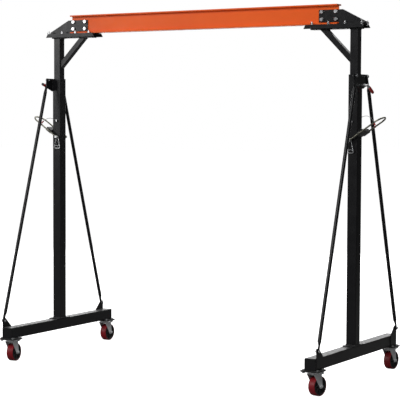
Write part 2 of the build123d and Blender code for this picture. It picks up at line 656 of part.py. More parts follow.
def hanging_link(side):
    """Triangular wire link with a second bar across it, hanging from one stud."""
    r = LINK_WIRE_RADIUS
    ring = STUD_RADIUS + GAP + r
    half = LINK_WIDTH / 2 - r
    low = LINK_DROP - r
    link = Rot(90, 0, 0) * Torus(ring, r)
    for s in (-1, 1):
        a = Vector(s * ring * 0.8, 0, -ring * 0.6)
        b = Vector(s * half, 0, -low)
        path = Line(a, b)
        link += sweep(Plane(path @ 0, z_dir=path % 0) * Circle(r), path)
        link += Pos(b.X, 0, b.Z) * Sphere(r)
    link += rod_x(r, -half, half, 0, -low)
    rise = -low + LINK_BAR_RISE
    share = LINK_BAR_RISE / (low - ring * 0.6)
    reach = half + (ring * 0.8 - half) * share
    link += rod_x(r * 0.8, -reach, reach, 0, rise)
    return Pos(-LEVER_PIVOT_IN, side * LINK_SIDE, LEVER_PIVOT_Z) * link


def pull_pin(side):
    """Round pull pin along X, its outward end bent into a handle; returns the pin and the grip."""
    tilt = PIN_HANDLE_TILT[side]
    path = FilletPolyline((PIN_TIP_PARKED + 2, 0, 0), (PIN_HANDLE_OUT, 0, 0),
                          (PIN_HANDLE_OUT, PIN_HANDLE_LENGTH, 0), radius=PIN_BEND)
    pin = sweep(Plane(path @ 0, z_dir=path % 0) * Circle(PIN_RADIUS), path)
    tip = Pos(PIN_TIP_PARKED + 1, 0, 0) * Rot(0, -90, 0) * Cone(PIN_RADIUS, PIN_RADIUS - 2, 2)
    pin += tip
    start = PIN_HANDLE_LENGTH - GRIP_LENGTH
    grip = rod_y(GRIP_RADIUS, start, PIN_HANDLE_LENGTH + 3.0, PIN_HANDLE_OUT, 0)
    grip -= rod_y(PIN_RADIUS, start - 1, PIN_HANDLE_LENGTH, PIN_HANDLE_OUT, 0)
    return [Pos(0, 0, PIN_Z) * Rot(tilt, 0, 0) * shape for shape in (pin, grip)]


# ---- write the nodes -----------------------------------------------------------------------
os.makedirs("parts", exist_ok=True)

save("i_beam", i_beam())
for side in SIDES:
    save(side + "_inner_tube", place(side, inner_tube()))
save("top_plates", *[place(s, p) for s in SIDES for p in (top_plate(), saddle_strip())])
save("knee_braces", *[place(s, knee_brace()) for s in SIDES])
save("cradle_channels", *[place(s, cradle_channel()) for s in SIDES])
save("gusset_plates", *[place(s, p) for s in SIDES for p in gusset_plates()])
save("web_bolts", *[place(s, p) for s in SIDES for p in web_bolts()])
save("cradle_bolts", *[place(s, p) for s in SIDES for p in cradle_bolts()])

for side in SIDES:
    stand = {
        "outer_tube": [outer_tube()],
        "foot_plate": [foot_plate()],
        "base_bar": [base_bar()],
        "end_caps": end_caps(),
        "brace_plates": brace_plates(),
        "tie_rods": [tie_rod(-1), tie_rod(1)],
        "rod_bolts": rod_bolts(),
        "caster_pads": caster_pads(),
        "caster_plates": caster_plates(),
        "caster_bolts": caster_bolts(),
        "side_studs": side_studs(),
        "keeper_wire": [keeper_wire(side)],
        "jack_lever": [jack_lever()],
        "lever_block": [lever_block()],
        "hanging_link": [hanging_link(-1 if side == "right" else 1)],
    }
    pin, grip = pull_pin(side)
    stand["pull_pin"] = [pin]
    stand["pin_grip"] = [grip]
    for name, pieces in stand.items():
        save(side + "_" + name, *[place(side, p) for p in pieces])
    for end, sy in (("front", -1), ("rear", 1)):
        x = COLUMN_X if side == "right" else -COLUMN_X
        corner = Pos(x, sy * CASTER_SIDE, 0) * Rot(0, 0, CASTER_TURN[side, end])
        wheel = corner * Pos(0, CASTER_TRAIL, WHEEL_RADIUS)
        save(f"{side}_{end}_fork", *[corner * p for p in caster_fork()])
        save(f"{side}_{end}_wheel_core", wheel * wheel_core())
        save(f"{side}_{end}_tread", wheel * wheel_tread())
        save(f"{side}_{end}_brake_pedal", corner * brake_pedal())
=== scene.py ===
"""Looks of the portable gantry crane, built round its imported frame.

Every sub-assembly is a class with its sizes as fields and methods that build and dress its
pieces. Lengths are in metres in the crane's own frame: X along the beam, Y along the base bars,
Z up, origin on the floor between the stands. A stand is drawn with its outward side facing +X
and its column on the Z axis, and is then placed on the right or, after half a turn, on the left.
"""

import json
import logging
import math
from dataclasses import dataclass, field
from enum import Enum
from typing import Callable, Iterable, Optional, Sequence

import bmesh
import bpy
from mathutils import Matrix, Vector


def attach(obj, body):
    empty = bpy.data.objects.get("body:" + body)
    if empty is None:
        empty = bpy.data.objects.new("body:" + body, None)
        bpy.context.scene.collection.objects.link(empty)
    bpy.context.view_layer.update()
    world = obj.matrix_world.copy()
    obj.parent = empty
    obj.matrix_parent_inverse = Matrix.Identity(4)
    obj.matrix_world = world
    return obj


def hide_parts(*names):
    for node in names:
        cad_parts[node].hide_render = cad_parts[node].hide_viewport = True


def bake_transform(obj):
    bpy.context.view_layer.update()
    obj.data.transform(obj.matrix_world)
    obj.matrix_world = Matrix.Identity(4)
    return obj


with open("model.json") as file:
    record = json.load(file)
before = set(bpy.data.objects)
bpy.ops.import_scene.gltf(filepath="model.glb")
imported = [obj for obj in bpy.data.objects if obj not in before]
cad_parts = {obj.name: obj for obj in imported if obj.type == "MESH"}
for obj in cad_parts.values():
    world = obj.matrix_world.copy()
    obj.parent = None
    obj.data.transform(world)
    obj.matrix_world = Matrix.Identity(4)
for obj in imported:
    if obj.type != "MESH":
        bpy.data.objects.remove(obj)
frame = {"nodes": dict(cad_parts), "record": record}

LOG = logging.getLogger("gantry_crane")
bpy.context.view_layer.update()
MM = 0.001
FACING = 0.99    # cosine from which a normal counts as along an axis
MANY_SIDED = 8   # a turned end has more corners than this
Point = tuple[float, float, float]


class Side(Enum):
    """The two stands, with the sign of their place along X."""

    LEFT = -1
    RIGHT = 1

    @property
    def label(self) -> str:
        """Name used in node and body names."""
        return self.name.lower()


class End(Enum):
    """The two ends of a base bar, with the sign of their place along Y."""

    FRONT = -1
    REAR = 1

    @property
    def label(self) -> str:
        """Name used in node and body names."""
        return self.name.lower()


class Axis(Enum):
    """Row axes, each with the turn that brings a primitive's own Z onto it."""

    X = (0.0, math.pi / 2, 0.0)
    Y = (-math.pi / 2, 0.0, 0.0)
    Z = (0.0, 0.0, 0.0)


# ---------------------------------------------------------------------------------------------
# Modelling bench
# ---------------------------------------------------------------------------------------------
def put_down() -> None:
    """Leave edit mode and deselect everything."""
    if bpy.context.object is not None and bpy.context.object.mode != "OBJECT":
        bpy.ops.object.mode_set(mode="OBJECT")
    bpy.ops.object.select_all(action="DESELECT")


def take_up(*objects: bpy.types.Object) -> None:
    """Select these objects only, the first of them active.

    Args:
        objects: The objects to select.
    """
    put_down()
    for item in objects:
        item.select_set(True)
    bpy.context.view_layer.objects.active = objects[0]


class Workpiece:
    """One mesh on the bench, shaped with the modelling operators."""

    def __init__(self, name: str) -> None:
        """Take the primitive that was just added, and put its place into its mesh.

        Args:
            name: Name of the object and its mesh.
        """
        self.obj: bpy.types.Object = bpy.context.object
        self.obj.name = name
        self.obj.data.name = name
        bpy.ops.object.transform_apply(location=True, rotation=True, scale=True)

    @classmethod
    def cylinder(cls, name: str, radius: float, depth: float, centre: Point, axis: Axis = Axis.Z,
                 sides: int = 32) -> "Workpiece":
        """Add a cylinder.

        Args:
            name: Name of the piece.
            radius: Its radius.
            depth: Its length.
            centre: Its middle.
            axis: The axis it lies along.
            sides: How many sides its rim has.

        Returns:
            The piece on the bench.
        """
        put_down()
        bpy.ops.mesh.primitive_cylinder_add(vertices=sides, radius=radius, depth=depth, location=centre,
                                            rotation=axis.value)
        return cls(name)

    @classmethod
    def box(cls, name: str, low: Point, high: Point) -> "Workpiece":
        """Add a box between two corners.

        Args:
            name: Name of the piece.
            low: Its lowest corner.
            high: Its highest corner.

        Returns:
            The piece on the bench.
        """
        put_down()
        middle = [(a + b) / 2 for a, b in zip(low, high)]
        size = [b - a for a, b in zip(low, high)]
        bpy.ops.mesh.primitive_cube_add(size=1.0, location=middle, scale=size)
        return cls(name)

    @classmethod
    def disc(cls, name: str, radius: float, centre: Point, facing: Vector, sides: int = 16) -> "Workpiece":
        """Add a filled circle that faces a given way, the start of a bent bar.

        Args:
            name: Name of the piece.
            radius: Its radius.
            centre: Its middle.
            facing: Its normal.
            sides: How many sides its rim has.

        Returns:
            The piece on the bench.
        """
        put_down()
        turn = facing.to_track_quat("Z", "Y").to_euler()
        bpy.ops.mesh.primitive_circle_add(vertices=sides, radius=radius, fill_type="NGON", location=centre,
                                          rotation=turn)
        return cls(name)

    @classmethod
    def bead(cls, name: str, radius: float, centre: Point, squeeze: Point) -> "Workpiece":
        """Add one flattened ball of a weld.

        Args:
            name: Name of the piece.
            radius: Its radius.
            centre: Its middle.
            squeeze: Scale along each axis.

        Returns:
            The piece on the bench.
        """
        put_down()
        bpy.ops.mesh.primitive_uv_sphere_add(segments=8, ring_count=5, radius=radius, location=centre,
                                             scale=squeeze)
        return cls(name)

    @classmethod
    def ring(cls, name: str, major: float, minor: float, centre: Point, axis: Axis,
             sides: tuple[int, int] = (32, 10)) -> "Workpiece":
        """Add a round ring.

        Args:
            name: Name of the piece.
            major: Radius of its centre line.
            minor: Radius of its section.
            centre: Its middle.
            axis: The axis it goes round.
            sides: Segments round the ring and round its section.

        Returns:
            The piece on the bench.
        """
        put_down()
        bpy.ops.mesh.primitive_torus_add(major_radius=major, minor_radius=minor, major_segments=sides[0],
                                         minor_segments=sides[1], location=centre, rotation=axis.value)
        return cls(name)

    def edit(self) -> "Workpiece":
        """Go into edit mode with nothing selected."""
        take_up(self.obj)
        bpy.ops.object.mode_set(mode="EDIT")
        bpy.ops.mesh.select_all(action="DESELECT")
        return self

    def faces(self, test: Callable[[bmesh.types.BMFace], bool]) -> "Workpiece":
        """Select the faces that pass a test.

        Args:
            test: Says whether a face is wanted.

        Returns:
            The piece itself.
        """
        if self.obj.mode != "EDIT":
            self.edit()
        bpy.ops.mesh.select_mode(type="FACE")
        cage = bmesh.from_edit_mesh(self.obj.data)
        cage.faces.ensure_lookup_table()
        for face in cage.faces:
            face.select_set(bool(test(face)))
        cage.select_flush_mode()
        bmesh.update_edit_mesh(self.obj.data)
        return self

    def edges(self, test: Callable[[bmesh.types.BMEdge], bool]) -> "Workpiece":
        """Select the edges that pass a test.

        Args:
            test: Says whether an edge is wanted.

        Returns:
            The piece itself.
        """
        if self.obj.mode != "EDIT":
            self.edit()
        bpy.ops.mesh.select_mode(type="EDGE")
        cage = bmesh.from_edit_mesh(self.obj.data)
        for edge in cage.edges:
            edge.select_set(bool(test(edge)))
        cage.select_flush_mode()
        bmesh.update_edit_mesh(self.obj.data)
        return self

    def facing(self, way: Point, beyond: float = -1e9) -> "Workpiece":
        """Select the faces whose normal points one way and whose middle lies beyond a distance.

        Args:
            way: The unit direction.
            beyond: Least distance of the face's middle along it.

        Returns:
            The piece itself.
        """
        aim = Vector(way)
        return self.faces(lambda f: f.normal.dot(aim) > 0.999 and f.calc_center_median().dot(aim) > beyond)

    def middle(self) -> Vector:
        """Middle of the selected vertices."""
        cage = bmesh.from_edit_mesh(self.obj.data)
        chosen = [v.co.copy() for v in cage.verts if v.select]
        return sum(chosen, Vector()) / max(1, len(chosen))

    def inset(self, thickness: float, depth: float = 0.0) -> "Workpiece":
        """Inset the selected region.

        Args:
            thickness: Width of the new border.
            depth: How far the inner face rises.

        Returns:
            The piece itself.
        """
        bpy.ops.mesh.inset(thickness=thickness, depth=depth)
        return self

    def extrude(self, move: Point) -> "Workpiece":
        """Extrude the selected region.

        Args:
            move: The way it goes.

        Returns:
            The piece itself.
        """
        bpy.ops.mesh.extrude_region_move(TRANSFORM_OT_translate={"value": tuple(move)})
        return self

    def resize(self, scale: Point, about: Optional[Vector] = None) -> "Workpiece":
        """Scale what is selected.

        Args:
            scale: Scale along each axis.
            about: Fixed point, or the selection's own middle.

        Returns:
            The piece itself.
        """
        centre = self.middle() if about is None else about
        bpy.ops.transform.resize(value=scale, center_override=tuple(centre))
        return self

    def shift(self, move: Point) -> "Workpiece":
        """Move what is selected."""
        bpy.ops.transform.translate(value=tuple(move))
        return self

    def bevel(self, width: float, segments: int = 2) -> "Workpiece":
        """Bevel the selected edges."""
        bpy.ops.mesh.bevel(offset=width, segments=segments, profile=0.5, affect="EDGES")
        return self

    def bevel_sharp(self, width: float, segments: int = 2, angle: float = 40.0) -> "Workpiece":
        """Bevel every edge sharper than an angle, with an applied modifier.

        Args:
            width: Width of the bevel.
            segments: How many segments it has.
            angle: Least angle, in degrees.

        Returns:
            The piece itself.
        """
        take_up(self.obj)
        bpy.ops.object.modifier_add(type="BEVEL")
        soften = self.obj.modifiers[-1]
        soften.width = width
        soften.segments = segments
        soften.limit_method = "ANGLE"
        soften.angle_limit = math.radians(angle)
        soften.harden_normals = False
        bpy.ops.object.modifier_apply(modifier=soften.name)
        return self

    def row(self, count: int, step: Point) -> "Workpiece":
        """Repeat the piece in a row, with an applied array.

        Args:
            count: How many there are in all.
            step: From one to the next.

        Returns:
            The piece itself.
        """
        take_up(self.obj)
        bpy.ops.object.modifier_add(type="ARRAY")
        rank = self.obj.modifiers[-1]
        rank.count = count
        rank.use_relative_offset = False
        rank.use_constant_offset = True
        rank.constant_offset_displace = step
        bpy.ops.object.modifier_apply(modifier=rank.name)
        return self

    def tunnel(self, test: Callable[[bmesh.types.BMFace], bool]) -> "Workpiece":
        """Open a hole between the selected pair of faces and wall it.

        Args:
            test: Says which two faces the hole joins.

        Returns:
            The piece itself.
        """
        self.faces(test)
        bpy.ops.mesh.bridge_edge_loops()
        return self

    def round_off(self, way: int, radius: float, steps: tuple[float, ...]) -> "Workpiece":
        """Round the selected end off along Z, narrowing it along Y.

        Args:
            way: +1 for an upper end, -1 for a lower one.
            radius: Radius of the rounding.
            steps: Angles of its rings, in degrees.

        Returns:
            The piece itself.
        """
        before, reached = 1.0, 0.0
        for step in steps:
            reach, width = radius * math.sin(math.radians(step)), math.cos(math.radians(step))
            self.extrude((0, 0, way * (reach - reached))).resize((1, width / before, 1))
            before, reached = width, reach
        return self

    def place(self, matrix: Matrix) -> "Workpiece":
        """Move the finished mesh, its object staying at the origin."""
        put_down()
        self.obj.data.transform(matrix)
        self.obj.data.update()
        return self

    def copy(self, name: str, matrix: Matrix) -> "Workpiece":
        """Copy the piece with its own mesh.

        Args:
            name: Name of the copy.
            matrix: Where the copy goes.

        Returns:
            The copy.
        """
        put_down()
        twin = bpy.data.objects.new(name, self.obj.data.copy())
        twin.data.name = name
        bpy.context.scene.collection.objects.link(twin)
        take_up(twin)
        made = Workpiece(name)
        if matrix.determinant() < 0:
            raise ValueError(f"{name} would be mirrored")
        return made.place(matrix)

    def scrap(self) -> None:
        """Take a pattern off the bench."""
        put_down()
        bpy.data.objects.remove(self.obj)

    def finish(self, smooth: float = 35.0) -> "Workpiece":
        """Merge doubles, turn the faces outwards and smooth the gentle edges.

        Args:
            smooth: Greatest angle that shades smooth, in degrees.

        Returns:
            The piece itself.
        """
        self.edit()
        bpy.ops.mesh.select_all(action="SELECT")
        bpy.ops.mesh.remove_doubles(threshold=1e-6)
        bpy.ops.mesh.normals_make_consistent(inside=False)
        bpy.ops.object.mode_set(mode="OBJECT")
        bpy.ops.object.shade_smooth_by_angle(angle=math.radians(smooth))
        put_down()
        return self


def weld_up(name: str, pieces: Iterable[Workpiece]) -> Workpiece:
    """Join several pieces into one object.

    Args:
        name: Name of the joined piece.
        pieces: The pieces, which are used up.

    Returns:
        The joined piece.
    """
    group = list(pieces)
    take_up(*[p.obj for p in group])
    if len(group) > 1:
        bpy.ops.object.join()
    group[0].obj.name = name
    group[0].obj.data.name = name
    put_down()
    return group[0]


def bent_bar(name: str, radius: float, route: Sequence[Point], bend: float, sides: int = 14,
             steps: int = 8) -> Workpiece:
    """Bend a round bar along straight runs, the corners spun at one radius.

    Args:
        name: Name of the bar.
        radius: Radius of its section.
        route: Corner points, the first and last being its ends.
        bend: Radius of the bends' centre line.
        sides: Sides of its section.
        steps: Steps in each bend.

    Returns:
        The bar.
    """
    points = [Vector(p) for p in route]
    ways = [(b - a).normalized() for a, b in zip(points, points[1:])]
    bar = Workpiece.disc(name, radius, tuple(points[0]), ways[0], sides)
    bar.edit()
    bpy.ops.mesh.select_all(action="SELECT")
    here = points[0]
    for corner, way, after in zip(points[1:-1], ways, ways[1:]):
        angle = way.angle(after)
        trim = bend * math.tan(angle / 2)
        start = corner - way * trim
        bar.extrude(tuple(start - here))
        axle = way.cross(after).normalized()
        centre = start + axle.cross(way).normalized() * bend
        bpy.ops.mesh.spin(steps=steps, angle=angle, center=tuple(centre), axis=tuple(-axle))
        here = corner + after * trim
    bar.extrude(tuple(points[-1] - here))
    return bar


def weld_row(start: Point, end: Point, radius: float = 3.4 * MM, pitch: float = 3.4 * MM) -> Workpiece:
    """Lay one weld bead as a row of overlapping ripples along X, Y or Z.

    Args:
        start: Where the bead begins.
        end: Where it stops.
        radius: Half its width.
        pitch: From one ripple to the next.

    Returns:
        The bead.
    """
    run = Vector(end) - Vector(start)
    count = max(2, int(run.length / pitch) + 1)
    way = run.normalized()
    squeeze = tuple(1.0 - 0.28 * abs(w) for w in way)
    ripple = Workpiece.bead("weld", radius, start, squeeze)
    return ripple.row(count, tuple(run / (count - 1)))


# ---------------------------------------------------------------------------------------------
# Finishes
# ---------------------------------------------------------------------------------------------
class Wiring:
    """Adds and links nodes in one node tree."""

    def __init__(self, tree: bpy.types.NodeTree) -> None:
        """Work on this node tree."""
        self.tree = tree

    def add(self, kind: str, **settings: object) -> bpy.types.Node:
        """Add a node and set its properties.

        Args:
            kind: The node's type.
            settings: Properties by name.

        Returns:
            The node.
        """
        made = self.tree.nodes.new(kind)
        for key, value in settings.items():
            setattr(made, key, value)
        return made

    def link(self, source: bpy.types.NodeSocket, target: bpy.types.NodeSocket) -> None:
        """Join two sockets."""
        self.tree.links.new(source, target)

    def maths(self, operation: str, first: object, second: object = None, clamp: bool = False):
        """Add a Math node.

        Args:
            operation: What it works out.
            first: A socket or number.
            second: A socket, number or nothing.
            clamp: Whether the result stays from 0 to 1.

        Returns:
            Its output socket.
        """
        made = self.add("ShaderNodeMath", operation=operation, use_clamp=clamp)
        for slot, value in zip(made.inputs, (first, second)):
            if value is None:
                continue
            if isinstance(value, (int, float)):
                slot.default_value = value
            else:
                self.link(value, slot)
        return made.outputs[0]

    def noise(self, scale: float, detail: float = 3.0, roughness: float = 0.5, stretch: Point = (1, 1, 1)):
        """Add noise on Object coordinates.

        Args:
            scale: Cells per metre.
            detail: Octaves.
            roughness: Strength of the fine octaves.
            stretch: Scale along each axis.

        Returns:
            Its Fac output.
        """
        where = self.add("ShaderNodeTexCoord")
        turn = self.add("ShaderNodeMapping")
        turn.inputs["Scale"].default_value = stretch
        cloud = self.add("ShaderNodeTexNoise")
        cloud.inputs["Scale"].default_value = scale
        cloud.inputs["Detail"].default_value = detail
        cloud.inputs["Roughness"].default_value = roughness
        self.link(where.outputs["Object"], turn.inputs["Vector"])
        self.link(turn.outputs["Vector"], cloud.inputs["Vector"])
        return cloud.outputs["Fac"]

    def ramp(self, source: object, low: float, high: float, out_low: float = 0.0, out_high: float = 1.0):
        """Map one range of a value to another, clamped.

        Args:
            source: The value's socket.
            low: Where the range starts.
            high: Where it ends.
            out_low: Result at the start.
            out_high: Result at the end.

        Returns:
            The result's socket.
        """
        made = self.add("ShaderNodeMapRange")
        made.inputs["From Min"].default_value = low
        made.inputs["From Max"].default_value = high
        made.inputs["To Min"].default_value = out_low
        made.inputs["To Max"].default_value = out_high
        self.link(source, made.inputs["Value"])
        return made.outputs["Result"]

    def mix(self, share: object, first: object, second: object):
        """Mix two colours.

        Args:
            share: Socket of the second colour's share.
            first: Colour or socket.
            second: Colour or socket.

        Returns:
            The mixed colour's socket.
        """
        made = self.add("ShaderNodeMix", data_type="RGBA")
        self.link(share, made.inputs[0])
        for slot, value in ((made.inputs[6], first), (made.inputs[7], second)):
            if isinstance(value, tuple):
                slot.default_value = (*value, 1.0)
            else:
                self.link(value, slot)
        return made.outputs[2]


class SharedEffects:
    """Shader node groups that several finishes use."""

    def __init__(self) -> None:
        """Build each group once."""
        self.edge_wear_and_highlight = self._edge_wear_and_highlight()
        self.drift = self._drift()
        self.settled_dust = self._settled_dust()
        self.skin = self._skin()

    @staticmethod
    def _group(name: str, sockets: Sequence[tuple[str, float]], outputs: Sequence[str]):
        """Make an empty group with float sockets.

        Args:
            name: Name of the group.
            sockets: Input names with their defaults.
            outputs: Output names.

        Returns:
            The group's wiring, its input node and its output node.
        """
        tree = bpy.data.node_groups.new(name, "ShaderNodeTree")
        for label, value in sockets:
            made = tree.interface.new_socket(label, in_out="INPUT", socket_type="NodeSocketFloat")
            made.default_value = value
        for label in outputs:
            tree.interface.new_socket(label, in_out="OUTPUT", socket_type="NodeSocketFloat")
        wiring = Wiring(tree)
        return wiring, wiring.add("NodeGroupInput"), wiring.add("NodeGroupOutput")

    def _edge_wear_and_highlight(self) -> bpy.types.NodeTree:
        """Mask of edges, broken up by noise; the lighter colour laid on it is partly rubbed wear, partly a painted
        edge highlight.
        """
        w, given, out = self._group("rubbed_and_highlit_edges", [("Reach", 0.002), ("Patch Scale", 30.0)], ["Mask"])
        bevel = w.add("ShaderNodeBevel", samples=4)
        w.link(given.outputs["Reach"], bevel.inputs["Radius"])
        flat = w.add("ShaderNodeNewGeometry")
        dot = w.add("ShaderNodeVectorMath", operation="DOT_PRODUCT")
        w.link(bevel.outputs["Normal"], dot.inputs[0])
        w.link(flat.outputs["Normal"], dot.inputs[1])
        edge = w.ramp(w.maths("SUBTRACT", 1.0, dot.outputs["Value"]), 0.02, 0.22)
        where = w.add("ShaderNodeTexCoord")
        cloud = w.add("ShaderNodeTexNoise")
        cloud.inputs["Detail"].default_value = 5.0
        w.link(where.outputs["Object"], cloud.inputs["Vector"])
        w.link(given.outputs["Patch Scale"], cloud.inputs["Scale"])
        patch = w.ramp(cloud.outputs["Fac"], 0.42, 0.68)
        w.link(w.maths("MULTIPLY", edge, patch, clamp=True), out.inputs["Mask"])
        return w.tree

    def _drift(self) -> bpy.types.NodeTree:
        """Slow change over a surface, centred on a half."""
        w, given, out = self._group("slow_drift", [("Scale", 3.0)], ["Value"])
        where = w.add("ShaderNodeTexCoord")
        cloud = w.add("ShaderNodeTexNoise")
        cloud.inputs["Detail"].default_value = 4.0
        cloud.inputs["Roughness"].default_value = 0.55
        w.link(where.outputs["Object"], cloud.inputs["Vector"])
        w.link(given.outputs["Scale"], cloud.inputs["Scale"])
        w.link(w.ramp(cloud.outputs["Fac"], 0.3, 0.7), out.inputs["Value"])
        return w.tree

    def _settled_dust(self) -> bpy.types.NodeTree:
        """Mask of faces that look up, broken by fine noise: partly settled dust, partly a painted reflection that
        lightens the tops.
        """
        w, given, out = self._group("settled_dust", [("Scale", 60.0)], ["Mask"])
        flat = w.add("ShaderNodeNewGeometry")
        split = w.add("ShaderNodeSeparateXYZ")
        w.link(flat.outputs["Normal"], split.inputs["Vector"])
        upward = w.ramp(split.outputs["Z"], 0.55, 1.0)
        where = w.add("ShaderNodeTexCoord")
        cloud = w.add("ShaderNodeTexNoise")
        cloud.inputs["Detail"].default_value = 8.0
        w.link(where.outputs["Object"], cloud.inputs["Vector"])
        w.link(given.outputs["Scale"], cloud.inputs["Scale"])
        w.link(w.maths("MULTIPLY", upward, w.ramp(cloud.outputs["Fac"], 0.3, 0.75)), out.inputs["Mask"])
        return w.tree

    def _skin(self) -> bpy.types.NodeTree:
        """Fine pebbled height of a sprayed or moulded skin."""
        w, given, out = self._group("pebbled_skin", [("Scale", 500.0)], ["Height"])
        where = w.add("ShaderNodeTexCoord")
        cells = w.add("ShaderNodeTexVoronoi", feature="SMOOTH_F1")
        w.link(where.outputs["Object"], cells.inputs["Vector"])
        w.link(given.outputs["Scale"], cells.inputs["Scale"])
        w.link(cells.outputs["Distance"], out.inputs["Height"])
        return w.tree


@dataclass(frozen=True)
class Finish:
    """What every finish states: its colours, gloss and the strength of its surface detail."""

    name: str
    colour: tuple[float, float, float]
    shade: tuple[float, float, float]
    # lighter colour on edges: partly rubbed wear, partly a painted edge highlight
    worn_and_highlit: tuple[float, float, float]
    # lighter colour on faces that look up: partly settled dust, partly a painted reflection
    dust: tuple[float, float, float]
    metallic: float = 0.0
    gloss_low: float = 0.35
    gloss_high: float = 0.5
    specular: float = 0.5
    drift_scale: float = 3.0
    wear_and_highlight_reach: float = 0.0018
    wear_and_highlight_share: float = 0.5
    dust_share: float = 0.3
    skin_scale: float = 500.0
    skin_depth: float = 0.0002
    skin_strength: float = 0.25
    grain: Optional[Point] = None
    grain_scale: float = 300.0
    grain_strength: float = 0.0

    def make(self, effects: SharedEffects) -> bpy.types.Material:
        """Build the material.

        Args:
            effects: The shared node groups.

        Returns:
            The material.
        """
        material = bpy.data.materials.new(self.name)
        material.use_nodes = True
        w = Wiring(material.node_tree)
        surface = material.node_tree.nodes["Principled BSDF"]
        surface.inputs["Metallic"].default_value = self.metallic
        surface.inputs["Specular IOR Level"].default_value = self.specular
        drift = self._group(w, effects.drift, "Value", Scale=self.drift_scale)
        base = w.mix(drift, self.colour, self.shade)
        if self.grain is not None:
            streak = w.noise(self.grain_scale, 2.0, 0.6, self.grain)
            base = w.mix(w.ramp(streak, 0.35, 0.75, 0.0, 0.35), base, self.shade)
        # faces that look up turn lighter and rougher: partly settled dust, partly a painted reflection
        dust_and_reflection_mask = self._group(w, effects.settled_dust, "Mask", Scale=60.0)
        base = w.mix(w.maths("MULTIPLY", dust_and_reflection_mask, self.dust_share), base, self.dust)
        # edges turn lighter: partly rubbed wear, partly a painted edge highlight
        rubbed_and_highlit = self._group(w, effects.edge_wear_and_highlight, "Mask", **{"Reach": self.wear_and_highlight_reach, "Patch Scale": 24.0})
        wear_and_highlight = w.maths("MULTIPLY", rubbed_and_highlit, self.wear_and_highlight_share)
        w.link(w.mix(wear_and_highlight, base, self.worn_and_highlit), surface.inputs["Base Color"])
        blotch = w.noise(18.0, 6.0, 0.6)
        gloss = w.ramp(blotch, 0.3, 0.7, self.gloss_low, self.gloss_high)
        w.link(w.maths("ADD", gloss, w.maths("MULTIPLY", dust_and_reflection_mask, 0.18), clamp=True), surface.inputs["Roughness"])
        height = self._group(w, effects.skin, "Height", Scale=self.skin_scale)
        if self.grain is not None and self.grain_strength > 0:
            height = w.maths("ADD", height, w.maths("MULTIPLY", streak, self.grain_strength))
        bump = w.add("ShaderNodeBump")
        bump.inputs["Strength"].default_value = self.skin_strength
        bump.inputs["Distance"].default_value = self.skin_depth
        w.link(height, bump.inputs["Height"])
        w.link(bump.outputs["Normal"], surface.inputs["Normal"])
        return material

    @staticmethod
    def _group(w: Wiring, tree: bpy.types.NodeTree, output: str, **values: float) -> bpy.types.NodeSocket:
        """Place a shared group with its own values.

        Args:
            w: The material's wiring.
            tree: The group.
            output: Which output is wanted.
            values: Input values by name.

        Returns:
            The output's socket.
        """
        made = w.add("ShaderNodeGroup", node_tree=tree)
        for key, value in values.items():
            made.inputs[key].default_value = value
        return made.outputs[output]


ORANGE_COAT = Finish("orange_powder_coat", (0.92, 0.135, 0.010), (0.80, 0.105, 0.008), (0.95, 0.32, 0.10),
                     (0.85, 0.34, 0.16), specular=0.22, gloss_low=0.34, gloss_high=0.44, drift_scale=1.6,
                     wear_and_highlight_share=0.55, dust_share=0.18)
# the black coat's light grey on faces that look up is partly settled dust, partly a painted reflection
BLACK_COAT = Finish("black_powder_coat", (0.0062, 0.0062, 0.0072), (0.0095, 0.0095, 0.0105), (0.06, 0.06, 0.062),
                    (0.22, 0.22, 0.22), gloss_low=0.28, gloss_high=0.36, specular=0.27, drift_scale=2.2,
                    wear_and_highlight_share=0.6, dust_share=0.55)
BRIGHT_ZINC = Finish("bright_zinc_plate", (0.66, 0.67, 0.68), (0.50, 0.51, 0.52), (0.86, 0.86, 0.86),
                     (0.45, 0.44, 0.42), metallic=1.0, gloss_low=0.22, gloss_high=0.38, drift_scale=40.0,
                     wear_and_highlight_reach=0.0006, skin_scale=900.0, skin_strength=0.12)
PRESSED_STEEL = Finish("zinc_pressed_steel", (0.74, 0.75, 0.76), (0.60, 0.61, 0.62), (0.84, 0.84, 0.84),
                       (0.46, 0.46, 0.44), metallic=0.45, gloss_low=0.26, gloss_high=0.44, drift_scale=28.0,
                       wear_and_highlight_reach=0.001, skin_scale=700.0, skin_strength=0.18, grain=(1.0, 0.15, 1.0),
                       grain_scale=420.0, grain_strength=0.4)
YELLOW_ZINC = Finish("yellow_zinc_plate", (0.30, 0.29, 0.23), (0.20, 0.20, 0.165), (0.50, 0.49, 0.44),
                     (0.34, 0.32, 0.27), metallic=1.0, gloss_low=0.24, gloss_high=0.40, drift_scale=22.0,
                     wear_and_highlight_reach=0.0008, skin_scale=800.0, skin_strength=0.14)
WIRE_STRANDS = Finish("galvanised_wire", (0.50, 0.50, 0.50), (0.34, 0.34, 0.35), (0.70, 0.70, 0.70),
                      (0.35, 0.34, 0.33), metallic=1.0, gloss_low=0.34, gloss_high=0.5, drift_scale=60.0,
                      wear_and_highlight_reach=0.0003, skin_scale=900.0, skin_strength=0.2, grain=(1.0, 1.0, 2.4),
                      grain_scale=500.0, grain_strength=1.2)
BLACK_CORE = Finish("black_moulded_core", (0.014, 0.014, 0.015), (0.022, 0.021, 0.021), (0.06, 0.06, 0.06),
                    (0.10, 0.095, 0.09), gloss_low=0.42, gloss_high=0.58, drift_scale=24.0,
                    wear_and_highlight_reach=0.0008, skin_scale=1200.0, skin_strength=0.3)
